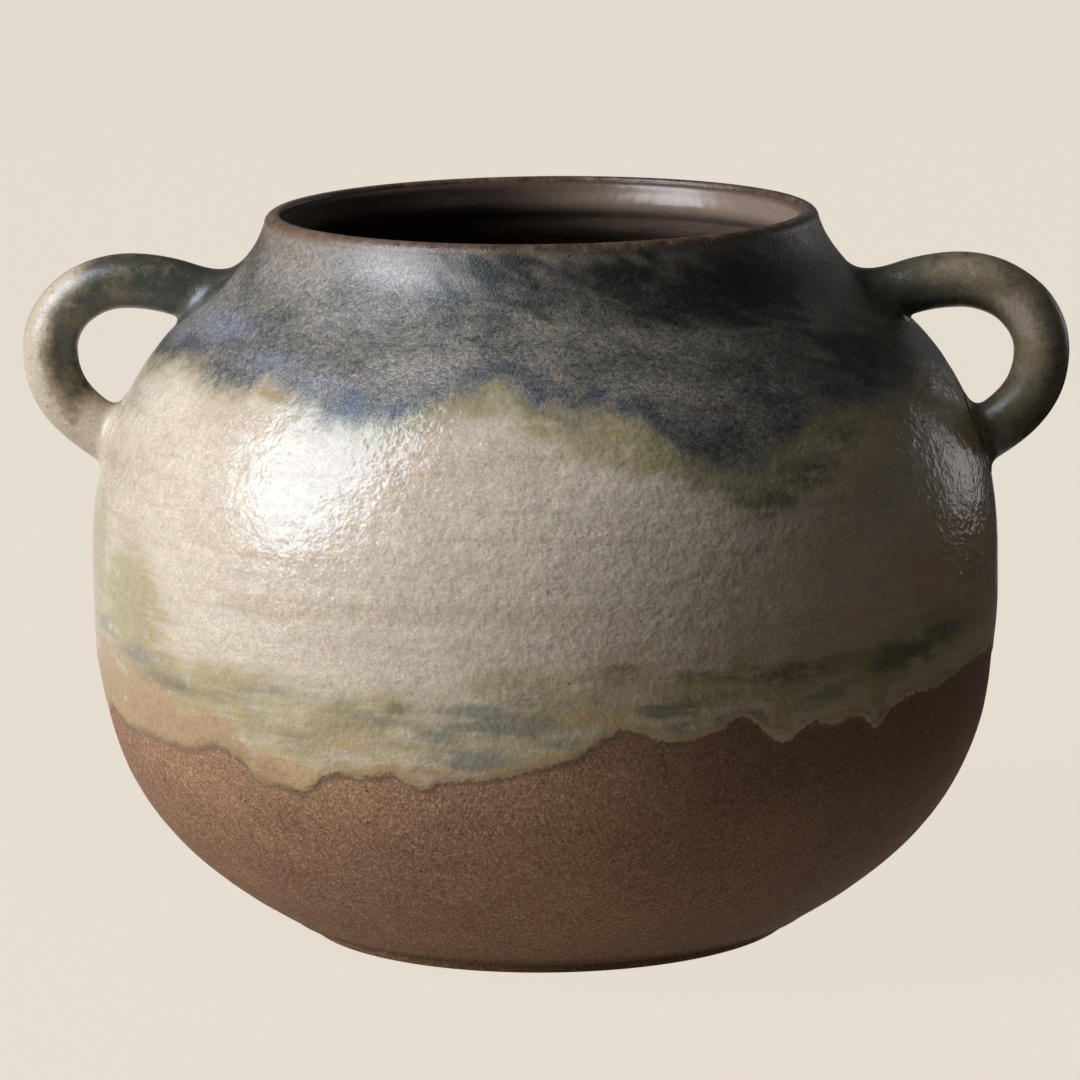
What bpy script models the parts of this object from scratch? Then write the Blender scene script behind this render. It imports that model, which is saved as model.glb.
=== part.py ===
"""A stoneware vase: a round pot thrown on the wheel, two coil handles luted to it, and three glaze coats.

Metres, +Z up. The pot's axis is Z, its foot stands on z = 0, and the handles lie on -X and +X.
"""

from math import cos, hypot, pi, radians, sin

import bmesh
import bpy
from mathutils import Vector
from mathutils.geometry import interpolate_bezier

# Sizes of the thrown pot, all of the bare clay

belly_radius = 0.0991
belly_height = 0.082
lower_belly_power = 3.4
waist_radius = 0.0596
waist_height = 0.0040
shoulder_inset = 0.0231
shoulder_height = 0.136
shoulder_power_out = 2.67
shoulder_power_up = 2.31
collar_inset = 0.0161
collar_height = 0.02165
collar_lean = 0.30
collar_start = 0.006
collar_end = 0.010
lip_thickness = 0.0030
neck_wall = 0.0042
rim_bead = 0.0014
rim_bead_below_lip = 0.0060
belly_wall = 0.0052
heel_wall = 0.0085
floor_thickness = 0.0075
floor_corner = 0.016
foot_radius = 0.0545
foot_edge = 0.0010
foot_wall_height = 0.0021
foot_ring_width = 0.0085
foot_recess = 0.0028

shoulder_radius = belly_radius - shoulder_inset
collar_radius = shoulder_radius - collar_inset
clay_height = shoulder_height + collar_height

# Sizes of the handles and of the clay worked round their ends

coil_thickness = 0.0121
handle_reach = 0.0102
handle_side_below_shoulder = 0.0086
crest_above_shoulder = 0.0068
crest_inboard_of_side = 0.0178
upper_root_above_shoulder = 0.0024
upper_root_rise = radians(28.0)
lower_root_below_shoulder = 0.0278
lower_root_fall = radians(32.0)
root_sunk = 0.010
luting_edge = 0.0003
upper_luting_over = 0.0075
upper_luting_under = 0.0030
lower_luting_over = 0.0042
lower_luting_under = 0.0026

# Glaze coats

clearance = 0.0003
glaze_thickness = 0.0006
coat_gap = 0.0005

# Counts of facets

pot_segments = 40
belly_steps = 10
shoulder_steps = 7
collar_steps = 6
lip_steps = 6
floor_corner_steps = 3
edge_columns = 80
coil_sides = 16
coil_steps = 6
luting_sides = 18
luting_steps = 4

# Where each glaze coat ends, as (azimuth in degrees, height). Azimuth 0 is -Y and 90 is +X.
# The cream's edge is measured up from the foot, and the slate's down from the shoulder.

cream_lower_edge = [
    (-176, 0.053), (-160, 0.049), (-146, 0.057), (-130, 0.052), (-114, 0.060), (-96, 0.055),
    (-76, 0.052), (-58, 0.052), (-46, 0.052), (-36, 0.048), (-28, 0.047), (-20, 0.052),
    (-12, 0.050), (0, 0.054), (8, 0.058), (14, 0.062), (21, 0.060), (28, 0.064),
    (34, 0.058), (42, 0.060), (49, 0.056), (54, 0.062), (69, 0.064), (84, 0.063),
    (100, 0.057), (117, 0.066), (133, 0.058), (150, 0.062), (167, 0.056),
]
slate_lower_edge = [
    (-172, -0.017), (-156, -0.009), (-141, -0.015), (-124, -0.008), (-107, -0.013), (-90, -0.007),
    (-72, -0.006), (-54, -0.006), (-40, -0.007), (-31, -0.009), (-24, -0.012), (-16, -0.010),
    (-5, -0.004), (2, -0.006), (8, -0.009), (13, -0.008), (18, -0.012), (25, -0.019),
    (31, -0.021), (37, -0.017), (44, -0.012), (57, -0.012), (72, -0.011), (88, -0.015),
    (103, -0.009), (118, -0.018), (134, -0.013), (150, -0.007), (168, -0.012),
]


def clear_scene():
    for item in list(bpy.data.objects):
        bpy.data.objects.remove(item)


def finish(name, colour, roughness):
    """A fired surface: a Principled BSDF of one colour."""
    material = bpy.data.materials.new(name)
    material.use_nodes = True
    shader = material.node_tree.nodes["Principled BSDF"]
    shader.inputs["Base Color"].default_value = (*colour, 1.0)
    shader.inputs["Roughness"].default_value = roughness
    shader.inputs["Metallic"].default_value = 0.0
    material.diffuse_color = (*colour, 1.0)
    return material


def add_object(name, mesh, material=None):
    item = bpy.data.objects.new(name, mesh)
    bpy.context.scene.collection.objects.link(item)
    if material is None:
        item.hide_render = True
        item.display_type = "WIRE"
        return item
    mesh.materials.append(material)
    return item


def turned(name, outline, material=None, closed=False):
    """The outline, a list of (radius, height), turned about Z as a pot is on the wheel."""
    mesh = bpy.data.meshes.new(name)
    points = [(radius, 0.0, height) for radius, height in outline]
    edges = [(i, i + 1) for i in range(len(points) - 1)]
    if closed:
        edges.append((len(points) - 1, 0))
    mesh.from_pydata(points, edges, [])
    item = add_object(name, mesh, material)
    lathe = item.modifiers.new("turned", "SCREW")
    lathe.axis = "Z"
    lathe.angle = 2 * pi
    lathe.screw_offset = 0.0
    lathe.steps = pot_segments
    lathe.render_steps = pot_segments
    lathe.use_merge_vertices = True
    lathe.merge_threshold = 0.00001
    lathe.use_smooth_shade = True
    return item


def cut(item, cutter, operation="DIFFERENCE"):
    boolean = item.modifiers.new(operation.lower() + " " + cutter.name, "BOOLEAN")
    boolean.operation = operation
    boolean.solver = "EXACT"
    boolean.object = cutter


# The pot's outline


def lower_belly(height):
    """Radius between the waist above the foot and the belly, where the curve runs straight up."""
    share = (belly_height - height) / (belly_height - waist_height)
    return belly_radius - (belly_radius - waist_radius) * share**lower_belly_power


def upper_belly(height):
    """Radius between the belly and the shoulder: a superellipse through the shoulder's radius."""
    narrowing = 1 - (shoulder_radius / belly_radius) ** shoulder_power_out
    reach = (shoulder_height - belly_height) / narrowing ** (1 / shoulder_power_up)
    share = (height - belly_height) / reach
    return belly_radius * (1 - share**shoulder_power_up) ** (1 / shoulder_power_out)


def collar():
    """Points of the concave collar, from the shoulder to the lip."""
    step = 0.0001
    slope = (upper_belly(shoulder_height) - upper_belly(shoulder_height - step)) / step
    start = Vector((shoulder_radius, shoulder_height))
    end = Vector((collar_radius, clay_height - lip_thickness / 2))
    start_handle = start + Vector((slope, 1.0)).normalized() * collar_start
    end_handle = end - Vector((-collar_lean, 1.0)).normalized() * collar_end
    curve = interpolate_bezier(start, start_handle, end_handle, end, collar_steps + 1)
    return [tuple(point) for point in curve]


def steps(low, high, count):
    return [low + (high - low) * i / count for i in range(count)]


def outer_wall():
    """Outline of the wall's outer face, from the waist up to the lip."""
    below = steps(waist_height, belly_height, belly_steps)
    above = steps(belly_height, shoulder_height, shoulder_steps)
    lower = [(lower_belly(height), height) for height in below]
    upper = [(upper_belly(height), height) for height in above]
    return lower + upper + collar()


def normals(outline):
    """The direction square to the outline at each point, to the right of the way that it runs."""
    found = []
    for i in range(len(outline)):
        before = outline[max(i - 1, 0)]
        after = outline[min(i + 1, len(outline) - 1)]
        along = (after[0] - before[0], after[1] - before[1])
        length = hypot(*along)
        found.append((along[1] / length, -along[0] / length))
    return found


def offset(outline, distance):
    """The outline moved square to itself, away from the axis where it runs upwards."""
    return [
        (point[0] + normal[0] * distance, point[1] + normal[1] * distance)
        for point, normal in zip(outline, normals(outline))
    ]


def at_height(outline, height):
    """The outline's radius at a height, between its points."""
    for low, high in zip(outline, outline[1:]):
        if low[1] <= height <= high[1]:
            return low[0] + (high[0] - low[0]) * (height - low[1]) / (high[1] - low[1])
    return outline[0][0] if height < outline[0][1] else outline[-1][0]


def wall_at(height):
    """Thickness of the wall: it thins from the heel to the neck, and swells to a bead inside the rim."""
    if height < belly_height:
        share = (belly_height - height) / (belly_height - waist_height)
        return belly_wall + (heel_wall - belly_wall) * share**2
    share = min(1.0, (height - belly_height) / (shoulder_height - belly_height))
    off_bead = abs(clay_height - rim_bead_below_lip - height) / (rim_bead_below_lip / 2)
    return belly_wall + (neck_wall - belly_wall) * share + rim_bead * max(0.0, 1.0 - off_bead)


def inner_wall():
    """Outline of the inside, from the middle of the floor up to where the lip begins."""
    floor_height = foot_recess + floor_thickness
    wall = outer_wall()
    inside = []
    for point, normal in zip(wall, normals(wall)):
        thickness = wall_at(point[1])
        inside.append((point[0] - normal[0] * thickness, point[1] - normal[1] * thickness))
    inside[-1] = (collar_radius - lip_thickness, clay_height - lip_thickness / 2)
    inside = inside[1:4] + inside[6:-3:3] + inside[-3:]
    corner_start = Vector((inside[0][0] - floor_corner, floor_height))
    corner_end = Vector(inside[0])
    slope = (Vector(inside[1]) - corner_end).normalized()
    corner = interpolate_bezier(
        corner_start,
        corner_start + Vector((floor_corner / 2, 0.0)),
        corner_end - slope * floor_corner / 3,
        corner_end,
        floor_corner_steps + 1,
    )
    return [(0.0, floor_height)] + [tuple(point) for point in corner[:-1]] + inside


def lip(radius):
    """Half round of the lip, from its outer side over the top to its inner side."""
    middle = (collar_radius - lip_thickness / 2, clay_height - lip_thickness / 2)
    return [
        (middle[0] + radius * cos(pi * i / lip_steps), middle[1] + radius * sin(pi * i / lip_steps))
        for i in range(1, lip_steps)
    ]


def foot():
    """The foot ring, from the waist down its outer side and under it to the middle of the recess."""
    inner = foot_radius - foot_edge - foot_ring_width
    groove_radius = foot_radius + (waist_radius - foot_radius) * 0.35
    groove_height = foot_wall_height + (waist_height - foot_wall_height) * 0.4
    return [
        (groove_radius, groove_height),
        (foot_radius, foot_wall_height),
        (foot_radius, foot_edge),
        (foot_radius - foot_edge * 0.3, foot_edge * 0.3),
        (foot_radius - foot_edge, 0.0),
        (inner, 0.0),
        (inner - foot_edge, foot_recess * 0.75),
        (inner - foot_edge * 2.5, foot_recess),
        (0.0, foot_recess),
    ]


def thrown_body(clay):
    outline = inner_wall() + lip(lip_thickness / 2)[::-1] + outer_wall()[::-1] + foot()
    return turned("thrown_body", outline, clay)


def pot_envelope():
    """A cutter: all that lies within the outer face and its clearance, from the waist to the lip."""
    outside = offset(outer_wall(), clearance)
    return turned("pot_envelope", [(0.0, outside[-1][1])] + outside[::-1] + [(0.0, outside[0][1])])


# The handles


def direction(angle):
    return Vector((cos(angle), sin(angle)))


def upper_root():
    height = shoulder_height + upper_root_above_shoulder
    return Vector((at_height(outer_wall(), height), height)), direction(upper_root_rise)


def lower_root():
    height = shoulder_height - lower_root_below_shoulder
    return Vector((at_height(outer_wall(), height), height)), direction(pi + lower_root_fall)


def handle_path():
    """The coil's centreline as (x, z): from the shoulder, over the crest and down into the belly."""
    round_share = 0.5523
    start, start_way = upper_root()
    end, end_way = lower_root()
    side = Vector((belly_radius + handle_reach, shoulder_height - handle_side_below_shoulder))
    crest = Vector((side.x - crest_inboard_of_side, shoulder_height + crest_above_shoulder))
    to_crest = (crest - start).length / 3
    to_end = (end - side).length * 0.4
    over = Vector((side.x - crest.x, 0.0)) * round_share
    down = Vector((0.0, crest.y - side.y)) * round_share
    stretches = [
        (start, start + start_way * to_crest, crest - Vector((to_crest, 0.0)), crest),
        (crest, crest + over, side + down, side),
        (side, side - Vector((0.0, to_end)), end - end_way * to_end, end),
    ]
    path = [start - start_way * root_sunk]
    for stretch in stretches:
        path += interpolate_bezier(*stretch, coil_steps + 1)[:-1]
    return path + [end, end + end_way * root_sunk]


def coil(name, side, path, radii, material=None):
    """A roll of clay along a path in the XZ plane, on side -1 or +1, with its own radius at each point."""
    shape = bmesh.new()
    rings = []
    for i, (point, radius) in enumerate(zip(path, radii)):
        along = (path[min(i + 1, len(path) - 1)] - path[max(i - 1, 0)]).normalized()
        across = Vector((-along.y, along.x))
        ring = []
        for k in range(coil_sides):
            angle = 2 * pi * (k + 0.5) / coil_sides
            out = point + across * radius * cos(angle)
            ring.append(shape.verts.new((side * out.x, radius * sin(angle), out.y)))
        rings.append(ring)
    for ring, following in zip(rings, rings[1:]):
        for k in range(coil_sides):
            nearest = (k + 1) % coil_sides
            shape.faces.new((ring[k], ring[nearest], following[nearest], following[k]))
    shape.faces.new(rings[0])
    shape.faces.new(rings[-1])
    bmesh.ops.recalc_face_normals(shape, faces=shape.faces)
    for face in shape.faces:
        face.smooth = True
    mesh = bpy.data.meshes.new(name)
    shape.to_mesh(mesh)
    shape.free()
    return add_object(name, mesh, material)


def handle(name, side, envelope, glaze):
    path = handle_path()
    item = coil(name, side, path, [coil_thickness / 2] * len(path), glaze)
    cut(item, envelope)
    return item


def handle_clearance(name, side):
    """A cutter: the handle's coil grown by its clearance."""
    path = handle_path()
    return coil(name, side, path, [coil_thickness / 2 + clearance] * len(path))


def travel(path, distance):
    """The place on a path at a distance from its start, and the direction that it runs in there."""
    for before, after in zip(path, path[1:]):
        length = (after - before).length
        if distance <= length:
            return before + (after - before) * distance / length, (after - before) / length
        distance -= length
    return path[-1], (path[-1] - path[-2]).normalized()


def pot_gap(point):
    """How far a point lies outside the pot's outer face, measured level."""
    return hypot(point.x, point.y) - at_height(outer_wall(), point.z)


def pot_normal(point):
    step = 0.001
    wall = outer_wall()
    slope = (at_height(wall, point.z + step) - at_height(wall, point.z - step)) / (2 * step)
    return Vector((point.x, point.y, -slope * hypot(point.x, point.y))).normalized()


def worked_line(path, angle, over, under, grown):
    """One line of the worked clay, from the coil down to the pot, at an angle round the coil.

    It leaves the coil along it and lands flat on the pot, so it is a quadratic curve whose corner is
    where coil and pot meet. A cutter's line is the same one, grown outwards.
    """

    def on_coil(distance):
        middle, along = travel(path, distance)
        out = Vector((-along.y * cos(angle), sin(angle), along.x * cos(angle)))
        return Vector((middle.x, 0.0, middle.y)) + out * (coil_thickness / 2 + clearance + luting_edge), out

    rise = clearance + glaze_thickness
    distance = 0.0
    while pot_gap(on_coil(distance)[0]) < rise:
        distance += 0.00025
    corner, out = on_coil(distance)
    spread = (over + under) / 2 + (over - under) / 2 * out.z
    start = on_coil(distance + spread + grown)[0] + out * grown
    normal = pot_normal(corner)
    away = (out - normal * out.dot(normal)).normalized()
    end = corner + away * spread
    corner += (out + normal) * grown / (1 + out.dot(normal))
    for _ in range(3):
        normal = pot_normal(end)
        end -= normal * (pot_gap(end) - rise) * hypot(normal.x, normal.y)
    end += (away + normal) * grown
    line = []
    for i in range(luting_steps + 1):
        share = i / luting_steps
        line.append(start * (1 - share) ** 2 + corner * 2 * share * (1 - share) + end * share**2)
    line.append(end - normal * root_sunk / 3)
    return line


def worked_root(name, side, path, over, under, grown, material=None):
    """The clay worked round one end of a handle, before the handle and the pot are cut out of it."""
    shape = bmesh.new()
    lines = []
    for k in range(luting_sides):
        angle = 2 * pi * (k + 0.5) / luting_sides
        line = worked_line(path, angle, over, under, grown)
        lines.append([shape.verts.new((side * point.x, point.y, point.z)) for point in line])
    outside, _ = travel(path, root_sunk + (over + under) / 2)
    top = shape.verts.new((side * outside.x, 0.0, outside.y))
    bottom = shape.verts.new((side * path[0].x, 0.0, path[0].y))
    for line, following in zip(lines, lines[1:] + lines[:1]):
        for i in range(len(line) - 1):
            shape.faces.new((line[i], line[i + 1], following[i + 1], following[i]))
        shape.faces.new((line[0], following[0], top))
        shape.faces.new((line[-1], bottom, following[-1]))
    bmesh.ops.recalc_face_normals(shape, faces=shape.faces)
    for face in shape.faces:
        face.smooth = True
    mesh = bpy.data.meshes.new(name)
    shape.to_mesh(mesh)
    shape.free()
    return add_object(name, mesh, material)


# The glaze coats


def edge_height(edge, azimuth):
    """Height of a glaze edge at an azimuth in degrees: a smooth closed curve through its points."""
    count = len(edge)
    for i in range(count):
        start, low = edge[i]
        end, high = edge[(i + 1) % count]
        span = (end - start) % 360
        share = ((azimuth - start) % 360) / span
        if share < 1:
            before = edge[i - 1]
            after = edge[(i + 2) % count]
            lift = (high - before[1]) / (span + (start - before[0]) % 360) * span
            fall = (after[1] - low) / (span + (after[0] - end) % 360) * span
            return (
                low * (2 * share**3 - 3 * share**2 + 1)
                + lift * (share**3 - 2 * share**2 + share)
                + high * (3 * share**2 - 2 * share**3)
                + fall * (share**3 - share**2)
            )
    return edge[0][1]


def band(name, bottom, top):
    """A cutter: a thick ring that holds all of the wall between two heights, each a function of azimuth."""
    inner = collar_radius - lip_thickness
    outer = belly_radius + handle_reach
    shape = bmesh.new()
    columns = []
    for k in range(edge_columns):
        azimuth = 360 * k / edge_columns
        out = Vector((sin(radians(azimuth)), -cos(radians(azimuth)), 0.0))
        low = Vector((0.0, 0.0, bottom(azimuth)))
        high = Vector((0.0, 0.0, top(azimuth)))
        corners = (out * inner + low, out * outer + low, out * inner + high, out * outer + high)
        columns.append([shape.verts.new(corner) for corner in corners])
    for column, following in zip(columns, columns[1:] + columns[:1]):
        # A twisted face is split the same way in both coats' bands, so that their edges run side by side.
        for near, far in ((0, 1), (2, 3)):
            shape.faces.new((column[near], column[far], following[far]))
            shape.faces.new((column[near], following[far], following[near]))
        for low, high in ((0, 2), (1, 3)):
            shape.faces.new((column[low], column[high], following[high], following[low]))
    bmesh.ops.recalc_face_normals(shape, faces=shape.faces)
    mesh = bpy.data.meshes.new(name)
    shape.to_mesh(mesh)
    shape.free()
    return add_object(name, mesh)


def coat(name, bottom, top, root_rooms, glaze):
    """A coat on the outer wall: a turned shell kept within its band and cut away round the roots."""
    near = offset(outer_wall(), clearance)
    far = offset(outer_wall(), clearance + glaze_thickness)
    item = turned(name, far[::-1] + near, glaze, closed=True)
    for room in root_rooms:
        cut(item, room)
    cut(item, band(name + "_band", bottom, top), "INTERSECT")
    return item


def liner(glaze):
    """The coat poured inside: it covers the floor and the wall and rolls over the lip."""
    wall = inner_wall()
    half = lip_thickness / 2
    near = [(0.0, wall[0][1] + clearance)] + offset(wall, -clearance)[1:]
    far = [(0.0, near[0][1] + glaze_thickness)] + offset(wall, -clearance - glaze_thickness)[1:]
    near += lip(half + clearance)[::-1]
    far += lip(half + clearance + glaze_thickness)[::-1]
    middle = (collar_radius - half, clay_height - half)
    near.append((middle[0] + half + clearance, middle[1]))
    far.append((middle[0] + half + clearance + glaze_thickness, middle[1]))
    return turned("liner_glaze", far + near[::-1], glaze)


def build():
    clear_scene()
    clay = finish("bare_stoneware", (0.300, 0.170, 0.100), 0.82)
    mottled = finish("handle_ash_glaze", (0.190, 0.170, 0.118), 0.42)
    worked = finish("luting_ash_glaze", (0.180, 0.165, 0.125), 0.45)
    cream = finish("cream_glaze", (0.560, 0.475, 0.370), 0.34)
    slate = finish("slate_glaze", (0.140, 0.136, 0.128), 0.38)
    brown = finish("liner_brown_glaze", (0.060, 0.038, 0.027), 0.22)

    envelope = pot_envelope()
    pieces = [thrown_body(clay)]
    root_rooms = []
    path = handle_path()
    roots = (
        ("upper", path, upper_luting_over, upper_luting_under),
        ("lower", path[::-1], lower_luting_over, lower_luting_under),
    )
    for side, word in ((-1, "left"), (1, "right")):
        handle_room = handle_clearance(word + "_handle_room", side)
        pieces.append(handle(word + "_handle", side, envelope, mottled))
        for place, way_out, over, under in roots:
            name = word + "_" + place + "_luting"
            luting = worked_root(name, side, way_out, over, under, 0.0, worked)
            cut(luting, handle_room)
            cut(luting, envelope)
            pieces.append(luting)
            root_rooms.append(worked_root(name + "_room", side, way_out, over, under, clearance))

    def cream_bottom(azimuth):
        return edge_height(cream_lower_edge, azimuth)

    def slate_bottom(azimuth):
        return shoulder_height + edge_height(slate_lower_edge, azimuth)

    def cream_top(azimuth):
        return slate_bottom(azimuth) - coat_gap

    def slate_top(azimuth):
        return clay_height - lip_thickness / 2 - coat_gap

    pieces.append(coat("cream_glaze", cream_bottom, cream_top, root_rooms, cream))
    pieces.append(coat("slate_glaze", slate_bottom, slate_top, root_rooms, slate))
    pieces.append(liner(brown))

    vase = bpy.data.objects.new("vase", None)
    bpy.context.scene.collection.objects.link(vase)
    for piece in pieces:
        piece.parent = vase


build()
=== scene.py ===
from math import cos, pi, radians, sin

import bpy
import numpy as np
from mathutils import Matrix, Vector


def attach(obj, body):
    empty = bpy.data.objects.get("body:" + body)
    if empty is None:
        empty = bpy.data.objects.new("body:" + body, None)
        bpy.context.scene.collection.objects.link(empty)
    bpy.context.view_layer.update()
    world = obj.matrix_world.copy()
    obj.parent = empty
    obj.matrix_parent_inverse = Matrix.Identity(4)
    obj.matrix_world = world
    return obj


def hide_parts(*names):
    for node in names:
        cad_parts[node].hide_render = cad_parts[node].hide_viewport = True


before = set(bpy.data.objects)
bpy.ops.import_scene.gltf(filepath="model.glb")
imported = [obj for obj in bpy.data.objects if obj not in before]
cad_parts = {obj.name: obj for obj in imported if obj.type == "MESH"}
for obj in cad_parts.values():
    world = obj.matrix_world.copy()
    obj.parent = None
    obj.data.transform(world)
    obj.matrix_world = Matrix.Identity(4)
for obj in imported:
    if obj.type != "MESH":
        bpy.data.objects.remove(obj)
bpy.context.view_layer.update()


# The pot: one round body thrown on the wheel from sandy stoneware clay, with a trimmed foot ring.
# It is turned here from its outline, as on the wheel, with the rings that the fingers leave.
# Below the glaze its clay is bare: red-brown, matt and gritty.

belly_radius = 0.0991
belly_height = 0.082
lower_belly_power = 3.4
waist_radius = 0.0596
waist_height = 0.0040
shoulder_radius = 0.0760
shoulder_height = 0.136
shoulder_power_out = 2.67
shoulder_power_up = 2.31
collar_radius = 0.0599
clay_height = 0.15765
collar_lean = 0.30
collar_start = 0.006
collar_end = 0.010
lip_thickness = 0.0030
neck_wall = 0.0042
rim_bead = 0.0014
rim_bead_below_lip = 0.0038
rim_bead_reach = 0.0032
lip_taper_below_lip = 0.012
lip_taper_height = 0.0105
belly_wall = 0.0052
heel_wall = 0.0085
floor_height = 0.0103
floor_corner = 0.016
foot_radius = 0.0545
foot_edge = 0.0010
foot_wall_height = 0.0021
foot_ring_width = 0.0085
foot_recess = 0.0028
ring_depth = 0.00016
ring_spacing = 0.0085
wobble_depth = 0.00035
pot_seed = 7


def bezier(start, start_handle, end_handle, end, count):
    """Points of a cubic curve, its two ends among them."""
    t = np.linspace(0, 1, count)[:, None]
    corners = [np.array(corner, float) for corner in (start, start_handle, end_handle, end)]
    weights = ((1 - t) ** 3, 3 * t * (1 - t) ** 2, 3 * t**2 * (1 - t), t**3)
    return sum(weight * corner for weight, corner in zip(weights, corners))


def outer_radius(height):
    """Radius of the clay wall's outer face from the waist to the shoulder."""
    below = np.clip((belly_height - height) / (belly_height - waist_height), 0, 1)
    narrowing = 1 - (shoulder_radius / belly_radius) ** shoulder_power_out
    reach = (shoulder_height - belly_height) / narrowing ** (1 / shoulder_power_up)
    above = np.clip((height - belly_height) / reach, 0, 1)
    lower = belly_radius - (belly_radius - waist_radius) * below**lower_belly_power
    upper = belly_radius * (1 - above**shoulder_power_up) ** (1 / shoulder_power_out)
    return np.where(height < belly_height, lower, upper)


def unit(vectors):
    return vectors / np.maximum(np.linalg.norm(vectors, axis=-1, keepdims=True), 1e-12)


def line_normals(line):
    """Directions square to a line of (radius, height), to the right of the way that it runs."""
    along = unit(np.gradient(line, axis=0))
    return np.stack([along[:, 1], -along[:, 0]], axis=1)


def evened(line, spacing):
    """The same line with points about this far apart along it."""
    run = np.concatenate([[0], np.cumsum(np.linalg.norm(np.diff(line, axis=0), axis=1))])
    at = np.linspace(0, run[-1], max(2, round(run[-1] / spacing) + 1))
    return np.stack([np.interp(at, run, line[:, 0]), np.interp(at, run, line[:, 1])], axis=1)


shoulder_slope = (outer_radius(shoulder_height) - outer_radius(shoulder_height - 1e-4)) / 1e-4
collar_way = unit(np.array([shoulder_slope, 1.0]))
lip_way = unit(np.array([-collar_lean, 1.0]))
lip_start = np.array([collar_radius, clay_height - lip_thickness / 2])
shoulder_end = np.array([shoulder_radius, shoulder_height])
wall_heights = np.linspace(waist_height, shoulder_height, 600)
belly_line = np.stack([outer_radius(wall_heights), wall_heights], axis=1)
collar_line = bezier(
    shoulder_end, shoulder_end + collar_way * collar_start, lip_start - lip_way * collar_end, lip_start, 120
)
outer_line = np.concatenate([belly_line, collar_line[1:]])
lip_turn = np.linspace(0, pi, 26)[:, None]
lip_middle = lip_start - [lip_thickness / 2, 0]
lip_line = lip_middle + lip_thickness / 2 * np.concatenate([np.cos(lip_turn), np.sin(lip_turn)], axis=1)

wall_share = np.clip((belly_height - outer_line[:, 1]) / (belly_height - waist_height), 0, 1)
neck_share = np.clip((outer_line[:, 1] - belly_height) / (shoulder_height - belly_height), 0, 1)
wall_thickness = (
    belly_wall + (heel_wall - belly_wall) * wall_share**2 + (neck_wall - belly_wall) * neck_share
)
lip_share = np.clip((outer_line[:, 1] - clay_height + lip_taper_below_lip) / lip_taper_height, 0, 1)
wall_thickness = wall_thickness + (lip_thickness - wall_thickness) * lip_share**2
off_bead = (outer_line[:, 1] - clay_height + rim_bead_below_lip) / rim_bead_reach
wall_thickness = wall_thickness + rim_bead * np.cos(np.clip(off_bead, -1, 1) * pi / 2) ** 2
inner_line = outer_line - line_normals(outer_line) * wall_thickness[:, None]
inner_line[-1] = lip_line[-1]
inner_line = inner_line[inner_line[:, 1] > floor_height + floor_corner / 3]
inner_way = unit(inner_line[1] - inner_line[0])
corner_line = bezier(
    (inner_line[0][0] - floor_corner, floor_height),
    (inner_line[0][0] - floor_corner / 2, floor_height),
    inner_line[0] - inner_way * floor_corner / 3,
    inner_line[0],
    40,
)
floor_line = np.array([(r, floor_height) for r in np.linspace(0, corner_line[0][0], 60)[:-1]])
inside_line = np.concatenate([inner_line[::-1], corner_line[-2::-1], floor_line[::-1]])

# The skin is the whole line of the clay wall, up the outside, over the lip and down to the middle
# of the floor. "Run" is the way along it from the waist, so that the coats can lie on the same line.
skin_step = 0.0004
skin_line = np.concatenate(
    [evened(outer_line, skin_step), evened(lip_line, skin_step / 4)[1:], evened(inside_line, skin_step)[1:]]
)
skin_run = np.concatenate([[0], np.cumsum(np.linalg.norm(np.diff(skin_line, axis=0), axis=1))])
skin_normal = line_normals(skin_line)
lip_run = skin_run[np.argmax(skin_line[:, 1])]


def on_skin(run, distance):
    """The (radius, height) a distance out from the clay's skin, at a run along it, and the way out."""
    point = np.stack([np.interp(run, skin_run, skin_line[:, axis]) for axis in (0, 1)], axis=-1)
    way = unit(np.stack([np.interp(run, skin_run, skin_normal[:, axis]) for axis in (0, 1)], axis=-1))
    return point + way * np.asarray(distance)[..., None], way


def run_at(height):
    """Run along the skin of a height on the outer wall."""
    outside = skin_run <= lip_run
    return np.interp(height, skin_line[outside, 1], skin_run[outside])


def ring_weight(run):
    """The finger rings fade out at the waist, at the lip and towards the middle of the floor."""
    fade_run, lip_fade_run, smooth_lip_share = 0.010, 0.008, 0.4
    near_waist = np.clip(run / fade_run, 0, 1)
    near_lip = np.clip(np.abs(run - lip_run) / lip_fade_run - smooth_lip_share, 0, 1)
    return near_waist * near_lip * np.clip((skin_run[-1] - run) / fade_run, 0, 1)


groove_radius = foot_radius + (waist_radius - foot_radius) * 0.35
groove_height = foot_wall_height + (waist_height - foot_wall_height) * 0.4
ring_inside = foot_radius - foot_edge - foot_ring_width
under_line = evened(
    np.array(
        [
            (0.0, foot_recess),
            (ring_inside - foot_edge * 2.5, foot_recess),
            (ring_inside - foot_edge * 1.6, foot_recess * 0.93),
            (ring_inside - foot_edge, foot_recess * 0.75),
            (ring_inside - foot_edge * 0.6, foot_recess * 0.42),
            (ring_inside - foot_edge * 0.2, foot_recess * 0.10),
            (ring_inside + foot_edge * 0.3, 0.0),
            (foot_radius - foot_edge, 0.0),
            (foot_radius - foot_edge * 0.5, foot_edge * 0.14),
            (foot_radius - foot_edge * 0.14, foot_edge * 0.5),
            (foot_radius, foot_edge),
            (foot_radius, foot_wall_height * 0.85),
            (foot_radius + 0.0002, foot_wall_height),
            (groove_radius - 0.0003, groove_height - 0.0002),
            (groove_radius + 0.0004, groove_height + 0.0003),
            (waist_radius - 0.0006, waist_height - 0.0006),
        ]
    ),
    0.0007,
)


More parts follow.
